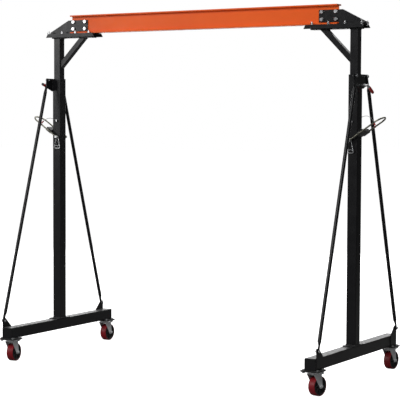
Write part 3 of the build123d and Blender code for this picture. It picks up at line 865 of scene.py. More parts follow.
RED_TREAD = Finish("red_polyurethane", (0.28, 0.007, 0.014), (0.19, 0.006, 0.011), (0.34, 0.04, 0.045),
                   (0.20, 0.05, 0.05), gloss_low=0.36, gloss_high=0.50, specular=0.36, drift_scale=16.0,
                   wear_and_highlight_reach=0.0015, skin_scale=600.0, skin_strength=0.22, grain=(0.25, 1.0, 1.0), grain_scale=260.0,
                   grain_strength=0.5)
RED_VINYL = Finish("red_dipped_vinyl", (0.58, 0.016, 0.014), (0.46, 0.013, 0.012), (0.62, 0.08, 0.07),
                   (0.40, 0.10, 0.09), gloss_low=0.22, gloss_high=0.34, drift_scale=30.0, wear_and_highlight_reach=0.0008,
                   skin_scale=500.0, skin_strength=0.1)
BLACK_BLOCK = Finish("black_block_moulding", (0.012, 0.012, 0.013), (0.02, 0.02, 0.02), (0.07, 0.07, 0.07),
                     (0.09, 0.09, 0.09), gloss_low=0.4, gloss_high=0.55, drift_scale=30.0,
                     wear_and_highlight_reach=0.0008, skin_scale=900.0, skin_strength=0.25)
SLOT_FINISHES = {"beam_orange": ORANGE_COAT, "frame_black": BLACK_COAT, "zinc_bolts": BRIGHT_ZINC,
                 "galvanised_steel": PRESSED_STEEL, "lever_zinc": YELLOW_ZINC, "wire_rope": WIRE_STRANDS,
                 "core_black": BLACK_CORE, "tread_red": RED_TREAD, "grip_red": RED_VINYL,
                 "block_black": BLACK_BLOCK}


class PaintShop:
    """Makes each finish once and puts it on nodes and pieces."""

    def __init__(self) -> None:
        """Build the shared groups and all materials."""
        effects = SharedEffects()
        self.materials = {slot: finish.make(effects) for slot, finish in SLOT_FINISHES.items()}

    def dress_nodes(self) -> None:
        """Give every CAD node the finish of its record slot."""
        for entry in frame["record"]["subparts"]:
            node = frame["nodes"][entry["node"]]
            for slot in node.material_slots:
                slot.material = self.materials[entry["material_slot"]]

    def dress(self, piece: Workpiece, slot: str, body: str, *nodes: str) -> bpy.types.Object:
        """Finish a new piece: its material, the body it rides on and the nodes it stands for.

        Args:
            piece: The piece.
            slot: The record's material slot.
            body: The body it moves with.
            nodes: The CAD nodes it replaces.

        Returns:
            The piece's object.
        """
        piece.obj.data.materials.clear()
        piece.obj.data.materials.append(self.materials[slot])
        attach(piece.obj, body)
        if nodes:
            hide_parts(*nodes)
        LOG.info("%s: %d faces on %s", piece.obj.name, len(piece.obj.data.polygons), body)
        return piece.obj


# ---------------------------------------------------------------------------------------------
# Fasteners
# ---------------------------------------------------------------------------------------------
@dataclass
class BoltPattern:
    """Hexagon bolt with washers and nut, modelled once for a shank of unit radius along +Z."""

    washer_radius: float = 1.8
    washer: float = 0.35
    across: float = 3.4
    head: float = 1.25
    nut: float = 1.5
    tail: float = 2.4

    def _hex(self, name: str, low: float, high: float, dome: float) -> Workpiece:
        """Hexagon with a chamfered crown at one end.

        Args:
            name: Name of the piece.
            low: Its seat.
            high: Its crown.
            dome: +1 when the crown points up, -1 down.

        Returns:
            The hexagon.
        """
        body = Workpiece.cylinder(name, self.across / 2 / math.cos(math.pi / 6), high - low,
                                  (0, 0, (low + high) / 2), Axis.Z, 6)
        body.facing((0, 0, dome))
        body.inset(0.20)
        body.edges(lambda e: all(abs(v.co.z - (high if dome > 0 else low)) < 1e-4
                                 and v.co.xy.length > 1.9 for v in e.verts))
        body.shift((0, 0, -0.14 * dome))
        return body.finish(25.0)

    def build(self, grip: float) -> Workpiece:
        """Build one bolt, its head's seat at Z 0 and its nut's seat at the grip.

        Args:
            grip: Clamped length in shank radii.

        Returns:
            The bolt.
        """
        parts = [self._hex("head", -self.washer - self.head, -self.washer, -1.0),
                 self._hex("nut", grip + self.washer, grip + self.washer + self.nut, 1.0)]
        for low, high in ((-self.washer, 0.0), (grip, grip + self.washer)):
            disc = Workpiece.cylinder("washer", self.washer_radius, high - low, (0, 0, (low + high) / 2))
            parts.append(disc.bevel_sharp(0.07).finish())
        top = grip + self.tail
        shank = Workpiece.cylinder("shank", 1.0, top + self.washer, (0, 0, (top - self.washer) / 2), Axis.Z, 20)
        shank.facing((0, 0, 1)).inset(0.22)
        shank.edges(lambda e: all(abs(v.co.z - top) < 1e-4 and v.co.xy.length > 0.95 for v in e.verts))
        shank.shift((0, 0, -0.2))
        parts.append(shank.finish())
        return weld_up("bolt_pattern", parts)


@dataclass
class BoltGroup:
    """One node's bolts, all of one size."""

    radius: float
    grip: float
    places: list[Matrix]
    tail: float = 2.4

    def build(self, name: str) -> Workpiece:
        """Copy the pattern to every place and join the copies.

        Args:
            name: Name of the joined piece.

        Returns:
            The group.
        """
        pattern = BoltPattern(tail=self.tail).build(self.grip / self.radius)
        scale = Matrix.Scale(self.radius, 4)
        copies = [pattern.copy(f"{name}_{n}", place @ scale) for n, place in enumerate(self.places)]
        pattern.scrap()
        return weld_up(name, copies)


def lay(x: float, y: float, z: float, way: Point = (0, 0, 1), twist: float = 0.0) -> Matrix:
    """Matrix that takes +Z to a direction and the origin to a point.

    Args:
        x: Place along X.
        y: Place along Y.
        z: Place along Z.
        way: The direction.
        twist: Turn about it, in degrees.

    Returns:
        The matrix.
    """
    turn = Vector(way).to_track_quat("Z", "Y").to_matrix().to_4x4()
    return Matrix.Translation((x, y, z)) @ turn @ Matrix.Rotation(math.radians(twist), 4, "Z")


# ---------------------------------------------------------------------------------------------
# Sub-assemblies
# ---------------------------------------------------------------------------------------------
@dataclass
class Layout:
    """Sizes that several sub-assemblies share."""

    column: float = 1.188
    outer_half: float = 0.034
    inner_half: float = 0.02765
    inner_top: float = 2.289
    cradle_top: float = 2.322
    bar_half: float = 0.038
    bar_low: float = 0.167
    bar_top: float = 0.243
    foot_top: float = 0.249
    foot_half: float = 0.075
    bar_end: float = 0.613
    caster_side: float = 0.5675

    def stand(self, side: Side) -> Matrix:
        """Matrix that places a stand's piece on its column.

        Args:
            side: Which stand.

        Returns:
            The matrix.
        """
        move = Matrix.Translation((side.value * self.column, 0, 0))
        return move if side is Side.RIGHT else move @ Matrix.Rotation(math.pi, 4, "Z")


@dataclass
class UpperFrame:
    """Bolts and welds of the beam's two ends."""

    layout: Layout
    web_radius: float = 0.007
    web_columns: tuple[float, ...] = (0.138, 0.240)
    web_rows: tuple[float, ...] = (0.034, 0.083)
    web_seat: float = 0.009
    cradle_radius: float = 0.0055
    cradle_tail: float = 3.6
    cradle_first: float = 0.061
    cradle_pitch: float = 0.1185
    cradle_side: float = 0.0422
    cradle_plate: float = 0.005
    brace_reach: float = 0.192
    brace_half: float = 0.019

    def build(self, paint: PaintShop) -> None:
        """Build and dress the bolts and welds.

        Args:
            paint: The paint shop.
        """
        paint.dress(self.web_bolts(), "zinc_bolts", "upper_frame", "web_bolts")
        paint.dress(self.cradle_bolts(), "zinc_bolts", "upper_frame", "cradle_bolts")
        for side in Side:
            beads = self.welds(side).place(self.layout.stand(side))
            paint.dress(beads, "frame_black", "upper_frame")

    def web_bolts(self) -> Workpiece:
        """Bolts through the gusset plates and the web, heads to the front."""
        places = [lay(side.value * (self.layout.column - dx), -self.web_seat, self.layout.cradle_top + dz,
                      (0, 1, 0), 17.0 * n + 40.0 * m)
                  for side in Side for n, dx in enumerate(self.web_columns) for m, dz in enumerate(self.web_rows)]
        return BoltGroup(self.web_radius, 2 * self.web_seat, places).build("web_bolt_set")

    def cradle_bolts(self) -> Workpiece:
        """Bolts up through the cradle channel, nuts on top."""
        seat = self.layout.cradle_top - self.cradle_plate
        places = [lay(side.value * (self.layout.column + self.cradle_first - n * self.cradle_pitch),
                      row * self.cradle_side, seat, (0, 0, 1), 0.0)
                  for side in Side for n in range(4) for row in (-1, 1)]
        group = BoltGroup(self.cradle_radius, self.cradle_plate, places, self.cradle_tail)
        return group.build("cradle_bolt_set")

    def welds(self, side: Side) -> Workpiece:
        """Weld beads of one end, in the stand's own place.

        Args:
            side: Which end.

        Returns:
            The beads.
        """
        h, top, cradle = self.layout.inner_half, self.layout.inner_top, self.layout.cradle_top
        rows = [((h, -h, top), (h, h, top)), ((-h, h, top), (h, h, top)), ((-h, -h, top), (h, -h, top))]
        b = self.brace_half
        foot = top - self.brace_reach
        for y in (-b, b):
            rows.append(((-h, y, foot - 1.3 * b), (-h, y, foot + 1.3 * b)))
            rows.append(((-h - self.brace_reach - 1.3 * b, y, top), (-h - self.brace_reach + 1.3 * b, y, top)))
        rows.append(((-h, -b, foot - 1.4 * b), (-h, b, foot - 1.4 * b)))
        for y in (-0.0095, 0.0095):
            rows.append(((-0.114, y, cradle), (0.066, y, cradle)))
        beads = weld_up(f"{side.label}_upper_welds", [weld_row(a, z) for a, z in rows])
        return beads.finish(60.0)


@dataclass
class Stand:
    """Tie rods, bolts and welds of one stand."""

    layout: Layout
    side: Side
    rod_radius: float = 0.012
    rod_out: float = 0.04325
    rod_low: tuple[float, float] = (0.590, 0.288)
    rod_high: tuple[float, float] = (0.083, 1.986)
    tab_low: float = 0.036
    tab_high: float = 0.066
    tab_half: float = 0.0135
    tab_thick: float = 0.006
    lug_face: float = 0.043
    bracket_face: float = 0.040
    lug_y: tuple[float, float] = (0.512, 0.605)
    lug_foot: float = 0.012
    rod_bolt: float = 0.005
    pad_bolt: float = 0.0045
    pad_bolts: tuple[float, float] = (0.0475, 0.0375)
    pad_grip: float = 0.012
    pad_tail: float = 1.9

    @property
    def body(self) -> str:
        """The body the stand's pieces ride on."""
        return self.side.label + "_stand"

    def build(self, paint: PaintShop) -> None:
        """Build and dress the rods, bolts and welds.

        Args:
            paint: The paint shop.
        """
        label, put = self.side.label, self.layout.stand(self.side)
        rods = weld_up(f"{label}_tie_rod_pair", [self.tie_rod(end) for end in End])
        paint.dress(rods.finish().place(put), "frame_black", self.body, label + "_tie_rods")
        paint.dress(self.rod_bolts().place(put), "zinc_bolts", self.body, label + "_rod_bolts")
        paint.dress(self.caster_bolts().place(put), "zinc_bolts", self.body, label + "_caster_bolts")
        paint.dress(self.welds().place(put), "frame_black", self.body)

    def tie_rod(self, end: End) -> Workpiece:
        """Round rod whose ends are forged flat into drilled tabs.

        Args:
            end: Which end of the base bar it reaches.

        Returns:
            The rod, leaning in place.
        """
        low = Vector((self.rod_out, end.value * self.rod_low[0], self.rod_low[1]))
        high = Vector((self.rod_out, end.value * self.rod_high[0], self.rod_high[1]))
        length = (high - low).length
        taper = 2.0 * self.rod_radius
        a, b = self.tab_low + taper, length - self.tab_high - taper
        rod = Workpiece.cylinder(f"{end.label}_rod", self.rod_radius, b - a, (0, 0, (a + b) / 2), Axis.Z, 28)
        for way, reach, face in ((-1, self.tab_low, self.lug_face), (1, self.tab_high, self.bracket_face)):
            offset = face + self.tab_thick / 2 - self.rod_out
            rod.facing((0, 0, way), 0.0 if way > 0 else -1e9)
            flat = self.tab_thick / 2 / self.rod_radius
            wide = self.tab_half / self.rod_radius
            rod.extrude((offset * 0.5, 0, way * taper * 0.5)).resize(((1 + flat) / 2, (1 + wide) / 2, 1))
            rod.extrude((offset * 0.5, 0, way * taper * 0.5))
            rod.resize((flat / ((1 + flat) / 2), wide / ((1 + wide) / 2), 1))
            rod.extrude((0, 0, way * reach))
            rod.round_off(way, self.tab_half, (30.0, 55.0, 75.0, 88.0))
        put_down()
        aim = (high - low).normalized()
        frame_x = Vector((1, 0, 0))
        turn = Matrix((frame_x, aim.cross(frame_x), aim)).transposed().to_4x4()
        return rod.place(Matrix.Translation(low) @ turn)

    def rod_bolts(self) -> Workpiece:
        """Bolts through the rods' tabs, heads outward."""
        places = []
        for end in End:
            for (y, z), face in ((self.rod_low, self.lug_face), (self.rod_high, self.bracket_face)):
                places.append(lay(face + self.tab_thick, end.value * y, z, (-1, 0, 0), 23.0 * y * 10))
        return BoltGroup(self.rod_bolt, 0.0115, places).build(self.side.label + "_rod_bolt_set")

    def caster_bolts(self) -> Workpiece:
        """Bolts that hold the casters to their pads, heads up."""
        dx, dy = self.pad_bolts
        places = [lay(sx * dx, end.value * self.layout.caster_side + sy * dy, self.layout.bar_low, (0, 0, -1), 0.0)
                  for end in End for sx in (-1, 1) for sy in (-1, 1)]
        group = BoltGroup(self.pad_bolt, self.pad_grip, places, self.pad_tail)
        return group.build(self.side.label + "_caster_bolt_set")

    def welds(self) -> Workpiece:
        """Weld beads of the column, bar, pads and rod plates."""
        o, foot, bar = self.layout.outer_half, self.layout.foot_top, self.layout.bar_top
        low, half = self.layout.bar_low, self.layout.bar_half
        near, far = self.lug_y
        rows = [((-o, s * o, foot), (o, s * o, foot)) for s in (-1, 1)]
        rows += [((s * o, -o, foot), (s * o, o, foot)) for s in (-1, 1)]
        for s in (-1, 1):
            edge = s * self.layout.foot_half
            rows.append(((-half + 0.006, edge, bar), (half - 0.006, edge, bar)))
            rows.append(((o, s * o, 1.908), (o, s * o, 1.994)))
            rows.append(((half, s * far, low + self.lug_foot + 0.003), (half, s * far, bar - 0.005)))
            rows.append(((half, s * near, low + self.lug_foot + 0.003), (half, s * near, bar - 0.005)))
            rows.append(((half, s * (near + 0.001), bar - 0.003), (half, s * (far - 0.001), bar - 0.003)))
            for x in (-half, half):
                rows.append(((x, s * (near + 0.001), low), (x, s * (self.layout.bar_end - 0.002), low)))
        beads = weld_up(self.side.label + "_stand_welds", [weld_row(a, b) for a, b in rows])
        return beads.finish(60.0)


@dataclass
class Caster:
    """Swivel caster: pressed fork, spoked core, rounded tread and brake pedal."""

    layout: Layout
    trail: float = 0.042
    wheel_radius: float = 0.0625
    tread_width: float = 0.050
    shoulder: float = 0.0045
    core_radius: float = 0.0565
    core_width: float = 0.046
    hub_radius: float = 0.017
    crown: tuple[float, float] = (0.1415, 0.1455)
    fork_inside: float = 0.028
    fork_thick: float = 0.003
    leg_foot: float = 0.030
    king_pin: tuple[float, float] = (0.007, 0.017)
    king_nut: tuple[float, float] = (0.0115, 0.008)
    ribs: int = 8
    rib_half: float = 0.0018
    race_radius: float = 0.031
    axle: float = 0.005
    pedal_y: float = 0.034
    pedal_z: float = 0.1325
    shoe_depth: float = 0.004
    shoe: tuple[float, float] = (0.008, 0.018)
    pedal_thick: float = 0.0035
    pedal_pin: float = 0.003
    barrel: float = 0.005
    pedal_half: float = 0.018
    pedal_reach: float = 0.052
    turns: dict[tuple[Side, End], float] = field(default_factory=lambda: {
        (Side.LEFT, End.FRONT): 8.0, (Side.LEFT, End.REAR): 0.0,
        (Side.RIGHT, End.FRONT): -12.0, (Side.RIGHT, End.REAR): -6.0})

    def build(self, paint: PaintShop) -> None:
        """Model each piece once and copy it to the four corners.

        Args:
            paint: The paint shop.
        """
        patterns = {"fork": (self.fork(), "galvanised_steel", "caster"),
                    "wheel_core": (self.core(), "core_black", "wheel"),
                    "tread": (self.tread(), "tread_red", "wheel"),
                    "brake_pedal": (self.pedal(), "galvanised_steel", "brake")}
        for side in Side:
            for end in End:
                corner = Matrix.Translation((side.value * self.layout.column,
                                             end.value * self.layout.caster_side, 0))
                corner = corner @ Matrix.Rotation(math.radians(self.turns[side, end]), 4, "Z")
                label = f"{side.label}_{end.label}"
                for node, (pattern, slot, body) in patterns.items():
                    piece = pattern.copy(f"{label}_{node}_piece", corner)
                    piece.finish(35.0)
                    paint.dress(piece, slot, f"{label}_{body}", f"{label}_{node}")
        for pattern, _, _ in patterns.values():
            pattern.scrap()

    def fork(self) -> Workpiece:
        """Crown, two tapering pressed legs, king pin and axle bolt."""
        near, far = -self.race_radius + 0.004, self.trail + 0.006
        low, high = self.crown
        outside = self.fork_inside + self.fork_thick
        crown = Workpiece.box("crown", (-outside, near, low), (outside, far, high))
        crown.edges(lambda e: abs(e.verts[0].co.z - e.verts[1].co.z) > 0.003)
        crown.bevel(0.006, 4)
        crown.facing((0, 0, 1)).inset(0.004).bevel_sharp(0.0006, 2)
        boss = Workpiece.cylinder("boss", self.race_radius - 0.001, high - low, (0, 0, (low + high) / 2), sides=48)
        boss.bevel_sharp(0.0012, 3)
        parts = [crown, boss]
        for way in (-1, 1):
            xs = sorted((way * self.fork_inside, way * outside))
            leg = Workpiece.box("leg", (xs[0], near, self.wheel_radius), (xs[1], far, low))
            leg.facing((0, 0, -1)).resize((1, self.leg_foot / (far - near), 1))
            leg.shift((0, self.trail - (near + far) / 2, 0))
            leg.round_off(-1, self.leg_foot / 2, (28.0, 52.0, 72.0, 86.0))
            leg.faces(lambda f: f.normal.x * way > FACING and f.calc_center_median().z > self.wheel_radius)
            leg.inset(0.006, 0.0).inset(0.0015, -0.0009)
            parts.append(leg.bevel_sharp(0.0007, 2, 30.0))
        pin = Workpiece.cylinder("king_pin", *self.king_pin, (0, 0, low + self.king_pin[1] / 2), sides=24)
        nut = Workpiece.cylinder("king_nut", *self.king_nut, (0, 0, low - self.king_nut[1] / 2), sides=6)
        parts += [pin.bevel_sharp(0.0008), nut.bevel_sharp(0.0008)]
        bolt = BoltPattern().build(2 * outside / self.axle)
        bolt.place(lay(-outside, self.trail, self.wheel_radius, (1, 0, 0)) @ Matrix.Scale(self.axle, 4))
        parts.append(bolt)
        return weld_up("fork_pattern", parts)

    def _wheel(self) -> Point:
        """Middle of the wheel."""
        return (0.0, self.trail, self.wheel_radius)

    def core(self) -> Workpiece:
        """Dished core with a hub and eight ribs on each side."""
        centre = self._wheel()
        core = Workpiece.cylinder("core", self.core_radius, self.core_width, centre, Axis.X, 64)
        for way in (-1, 1):
            core.faces(lambda f: f.normal.x * way > FACING)
            core.inset(0.006).inset(0.0015, -0.009)
            core.inset(self.core_radius - 0.0075 - self.hub_radius - 0.001).inset(0.001, 0.012)
            core.inset(0.0085).inset(0.0008, -0.004)
        core.bevel_sharp(0.0007, 2, 45.0)
        parts = [core]
        rib_low, rib_high = self.hub_radius - 0.002, self.core_radius - 0.006
        for way in (-1, 1):
            xs = sorted((way * (self.core_width / 2 - 0.0095), way * (self.core_width / 2 - 0.0025)))
            for n in range(self.ribs):
                rib = Workpiece.box("rib", (xs[0], -self.rib_half, rib_low), (xs[1], self.rib_half, rib_high))
                rib.facing((way, 0, 0)).resize((1, 0.55, 1))
                rib.bevel_sharp(0.0005, 2)
                turn = Matrix.Rotation(n * math.tau / self.ribs, 4, "X")
                parts.append(rib.place(Matrix.Translation(centre) @ turn))
        return weld_up("core_pattern", parts)

    def tread(self) -> Workpiece:
        """Rounded tread moulded round the core."""
        centre = self._wheel()
        tread = Workpiece.cylinder("tread", self.wheel_radius, self.tread_width, centre, Axis.X, 96)
        tread.edges(lambda e: len(e.link_faces) == 2 and any(len(f.verts) > MANY_SIDED for f in e.link_faces))
        tread.bevel(self.shoulder, 5)
        for way in (-1, 1):
            tread.faces(lambda f: f.normal.x * way > FACING and len(f.verts) > MANY_SIDED)
            tread.inset(0.0006, -0.0003).inset(0.0009)
        return tread.tunnel(lambda f: abs(f.normal.x) > FACING and len(f.verts) > MANY_SIDED)

    def pedal(self) -> Workpiece:
        """Pressed pedal with a turned-up toe, grip ribs, barrel and shoe."""
        tip, z, half = self.pedal_y + self.pedal_reach, self.pedal_z, self.pedal_half
        plate = Workpiece.box("plate", (-half, self.pedal_y, z), (half, tip, z + self.pedal_thick))
        plate.faces(lambda f: f.normal.y > FACING).inset(0.0002)
        plate.edges(lambda e: all(v.co.y > tip - 0.0002 for v in e.verts)
                    and abs(e.verts[0].co.z - e.verts[1].co.z) > 0.003)
        plate.bevel_sharp(0.0008, 2)
        toe = Workpiece.box("toe", (-half, tip - 0.004, z + 0.001), (half, tip, z + 0.009))
        toe.facing((0, 0, 1)).resize((0.8, 0.6, 1)).bevel_sharp(0.001, 3)
        parts = [plate, toe]
        for n in range(4):
            y = self.pedal_y + 0.022 + 0.006 * n
            rib = Workpiece.box("grip_rib", (-half + 0.004, y - 0.0011, z + 0.003),
                                (half - 0.004, y + 0.0011, z + 0.0047))
            parts.append(rib.bevel_sharp(0.0005, 2))
        barrel = Workpiece.cylinder("barrel", self.barrel, 2 * half, (0, self.pedal_y, z), Axis.X, 24)
        outside = self.fork_inside + self.fork_thick
        pin = Workpiece.cylinder("pin", self.pedal_pin, 2 * outside, (0, self.pedal_y, z), Axis.X, 18)
        shoe = Workpiece.box("shoe", (-half, self.pedal_y + self.shoe[0], z - self.shoe_depth),
                             (half, self.pedal_y + self.shoe[1], z + 0.001))
        shoe.facing((0, 0, -1)).resize((1, 0.8, 1)).bevel_sharp(0.0008, 2)
        parts += [barrel.bevel_sharp(0.0006), pin.bevel_sharp(0.0004), shoe]
        return weld_up("pedal_pattern", parts)


@dataclass
class JackLever:
    """Bent-bar lever with its block, hanging link and keeper wire."""

    layout: Layout
    side: Side
    bar: float = 0.0055
    half_width: float = 0.055
    length: float = 0.268
    angle: float = 33.5
    pivot: tuple[float, float] = (-0.013, 1.576)
    eye: float = 0.011
    eye_width: float = 0.009
    stud: float = 0.005
    block_length: float = 0.050
    block_height: float = 0.026
    block_land: float = 0.003
    gap: float = 0.0005
    wire: float = 0.003
    link_half: float = 0.024
    link_low: float = 0.083
    link_rise: float = 0.019
    link_side: float = 0.0435
    keeper: float = 0.0016
    screw: tuple[float, float] = (-0.005, 1.694)
    screw_eye: tuple[float, float] = (0.0056, 0.0014)
    crimp: tuple[float, float] = (0.0026, 0.010)
    sleeve: tuple[float, float] = (0.0048, 0.022)
    routes: dict[Side, tuple[Point, ...]] = field(default_factory=lambda: {
        Side.RIGHT: ((-0.0008, 0.0374, 1.6960), (0.0180, 0.0378, 1.7165), (0.0440, 0.0404, 1.7310),
                     (0.0700, 0.0444, 1.7320), (0.0920, 0.0484, 1.7180), (0.1070, 0.0514, 1.6960),
                     (0.1170, 0.0534, 1.6720)),
        Side.LEFT: ((-0.0008, 0.0374, 1.6960), (0.0200, 0.0378, 1.7060), (0.0450, 0.0404, 1.7115),
                    (0.0720, 0.0444, 1.7100), (0.0950, 0.0484, 1.6990), (0.1120, 0.0514, 1.6845),
                    (0.1210, 0.0534, 1.6755))})

    @property
    def keeper_route(self) -> tuple[Point, ...]:
        """The keeper wire's route on this stand."""
        return self.routes[self.side]

    def build(self, paint: PaintShop) -> None:
        """Build and dress the lever, block, link and keeper wire.

        Args:
            paint: The paint shop.
        """
        label, put = self.side.label, self.layout.stand(self.side)
        swing = put @ self._lift()
        paint.dress(self.lever().finish(50.0).place(swing), "lever_zinc", label + "_lever", label + "_jack_lever")
        paint.dress(self.block().finish().place(swing), "block_black", label + "_lever", label + "_lever_block")
        link = self.link(-self.side.value)
        paint.dress(link.finish(50.0).place(put), "zinc_bolts", label + "_link", label + "_hanging_link")
        self.keeper_wire(paint, put)
        fitting, collar = self.keeper_ends()
        paint.dress(fitting.finish(50.0).place(put), "wire_rope", label + "_stand")
        paint.dress(collar.finish(50.0).place(put), "grip_red", label + "_lever")

    def _lift(self) -> Matrix:
        """Matrix from the lever's own frame, along +X from its pivot, to the stand's."""
        out, z = self.pivot
        return Matrix.Translation((out, 0, z)) @ Matrix.Rotation(-math.radians(self.angle), 4, "Y")

    def lever(self) -> Workpiece:
        """Bar bent into a long U, with a drilled eye on each strand."""
        w, far = self.half_width, self.length - self.bar
        corner = [(self.eye - 0.002, -w, 0), (far, -w, 0), (far, w, 0), (self.eye - 0.002, w, 0)]
        bar = bent_bar("bar", self.bar, corner, w - 0.00001, 18, 16)
        parts = [bar]
        for s in (-1, 1):
            eye = Workpiece.cylinder("eye", self.eye, self.eye_width, (0, s * w, 0), Axis.Y, 36)
            eye.edges(lambda e: any(len(f.verts) > MANY_SIDED for f in e.link_faces))
            eye.bevel(0.0012, 3)
            for way in (-1, 1):
                eye.faces(lambda f: f.normal.y * way > FACING and len(f.verts) > MANY_SIDED)
                eye.inset(self.eye - 0.0012 - self.stud - 0.00006)
            parts.append(eye.tunnel(lambda f: abs(f.normal.y) > FACING and len(f.verts) > MANY_SIDED))
        return weld_up(self.side.label + "_lever_bar", parts)

    def block(self) -> Workpiece:
        """Moulded block between the strands, with an upright land and finger grooves."""
        a, h = math.radians(self.angle), self.block_height / 2
        w = self.half_width - self.bar
        reach = self.layout.outer_half - self.pivot[0] + self.gap
        top = (reach + h * math.sin(a)) / math.cos(a)
        near = top - self.block_land
        far = near + self.block_length
        body = Workpiece.box(self.side.label + "_block", (near, -w, -h), (far, w, h))
        body.edit()
        bpy.ops.mesh.select_all(action="SELECT")
        bpy.ops.mesh.bisect(plane_co=(top, 0, h), plane_no=(-math.cos(a), 0, math.sin(a)), use_fill=True,
                            clear_outer=True)
        body.bevel_sharp(0.0018, 3, 30.0)
        parts = [body]
        for n in range(3):
            x = near + 0.014 + 0.011 * n
            rib = Workpiece.box("rib", (x, -w + 0.006, h - 0.001), (x + 0.005, w - 0.006, h - 0.0002))
            parts.append(rib.bevel_sharp(0.0003, 2))
        return weld_up(self.side.label + "_lever_block_piece", parts)

    def link(self, side: int) -> Workpiece:
        """Triangular wire link with a ring at its top and a second bar.

        Args:
            side: -1 for the link at the front of the stand's own frame, 1 for the rear.

        Returns:
            The link.
        """
        out, z = self.pivot
        ring = self.stud + self.gap + self.wire
        y = side * self.link_side
        loop = Workpiece.ring("ring", ring, self.wire, (out, y, z), Axis.Y, (28, 10))
        x0, z0 = 0.8 * ring, z - 0.6 * ring
        low = z - self.link_low
        corner = [(out - x0, y, z0), (out - self.link_half - 0.001, y, low), (out + self.link_half + 0.001, y, low),
                  (out + x0, y, z0)]
        frame_wire = bent_bar("triangle", self.wire, corner, 0.006, 10, 6)
        share = self.link_rise / (z0 - low)
        reach = self.link_half + (x0 - self.link_half) * share
        cross = Workpiece.cylinder("cross", self.wire * 0.8, 2 * reach, (out, y, low + self.link_rise), Axis.X, 10)
        return weld_up(self.side.label + "_link_piece", [loop, frame_wire, cross])

    def keeper_wire(self, paint: PaintShop, put: Matrix) -> None:
        """Keeper wire as a smooth spline tube curving from the stand to the lever.

        Args:
            paint: The paint shop.
            put: Matrix that places the stand.
        """
        label = self.side.label
        line = bpy.data.curves.new(label + "_keeper", "CURVE")
        line.dimensions = "3D"
        line.bevel_depth = self.keeper
        line.bevel_resolution = 4
        line.resolution_u = 10
        line.use_fill_caps = True
        spline = line.splines.new("NURBS")
        spline.points.add(len(self.keeper_route) - 1)
        for knot, place in zip(spline.points, self.keeper_route):
            knot.co = (*(put @ Vector(place)), 1.0)
        spline.order_u = 3
        spline.use_endpoint_u = True
        tube = bpy.data.objects.new(label + "_keeper_tube", line)
        bpy.context.scene.collection.objects.link(tube)
        take_up(tube)
        bpy.ops.object.convert(target="MESH")
        piece = Workpiece(label + "_keeper_tube")
        piece.finish(60.0)
        piece.obj.data.materials.clear()
        piece.obj.data.materials.append(paint.materials["wire_rope"])
        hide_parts(label + "_keeper_wire")
        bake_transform(piece.obj)
        LOG.info("%s: keeper wire between stand and lever", piece.obj.name)

    def keeper_ends(self) -> tuple[Workpiece, Workpiece]:
        """Eye round the screw, and the red sleeve with its loop round the lever's strand."""
        first, last = Vector(self.keeper_route[0]), Vector(self.keeper_route[-1])
        eye = Workpiece.ring("screw_eye", *self.screw_eye,
                             (self.screw[0], self.layout.outer_half + 0.0033, self.screw[1]), Axis.Y, (24, 8))
        crimp = Workpiece.cylinder("crimp", *self.crimp, (0, 0, 0), Axis.Z, 16).bevel_sharp(0.0005)
        way = (Vector(self.keeper_route[1]) - first).normalized()
        middle = first + way * 0.006
        crimp.place(lay(*middle, tuple(way)))
        fitting = weld_up(self.side.label + "_keeper_eye", [eye, crimp])
        way = (last - Vector(self.keeper_route[-2])).normalized()
        middle = last - way * self.sleeve[1] / 2
        sleeve = Workpiece.cylinder("sleeve", *self.sleeve, (0, 0, 0), Axis.Z, 20)
        sleeve.bevel_sharp(0.0012, 3)
        sleeve.place(lay(*middle, tuple(way)))
        out, z = self.pivot
        a = math.radians(self.angle)
        along = (last.x - out) / math.cos(a)
        centre = (out + along * math.cos(a), self.half_width, z + along * math.sin(a))
        loop = Workpiece.ring("loop", self.bar + 0.0018, 0.0014, (0, 0, 0), Axis.Z, (24, 8))
        loop.place(lay(*centre, (math.cos(a), 0, math.sin(a))))
        return fitting, weld_up(self.side.label + "_keeper_sleeve", [sleeve, loop])


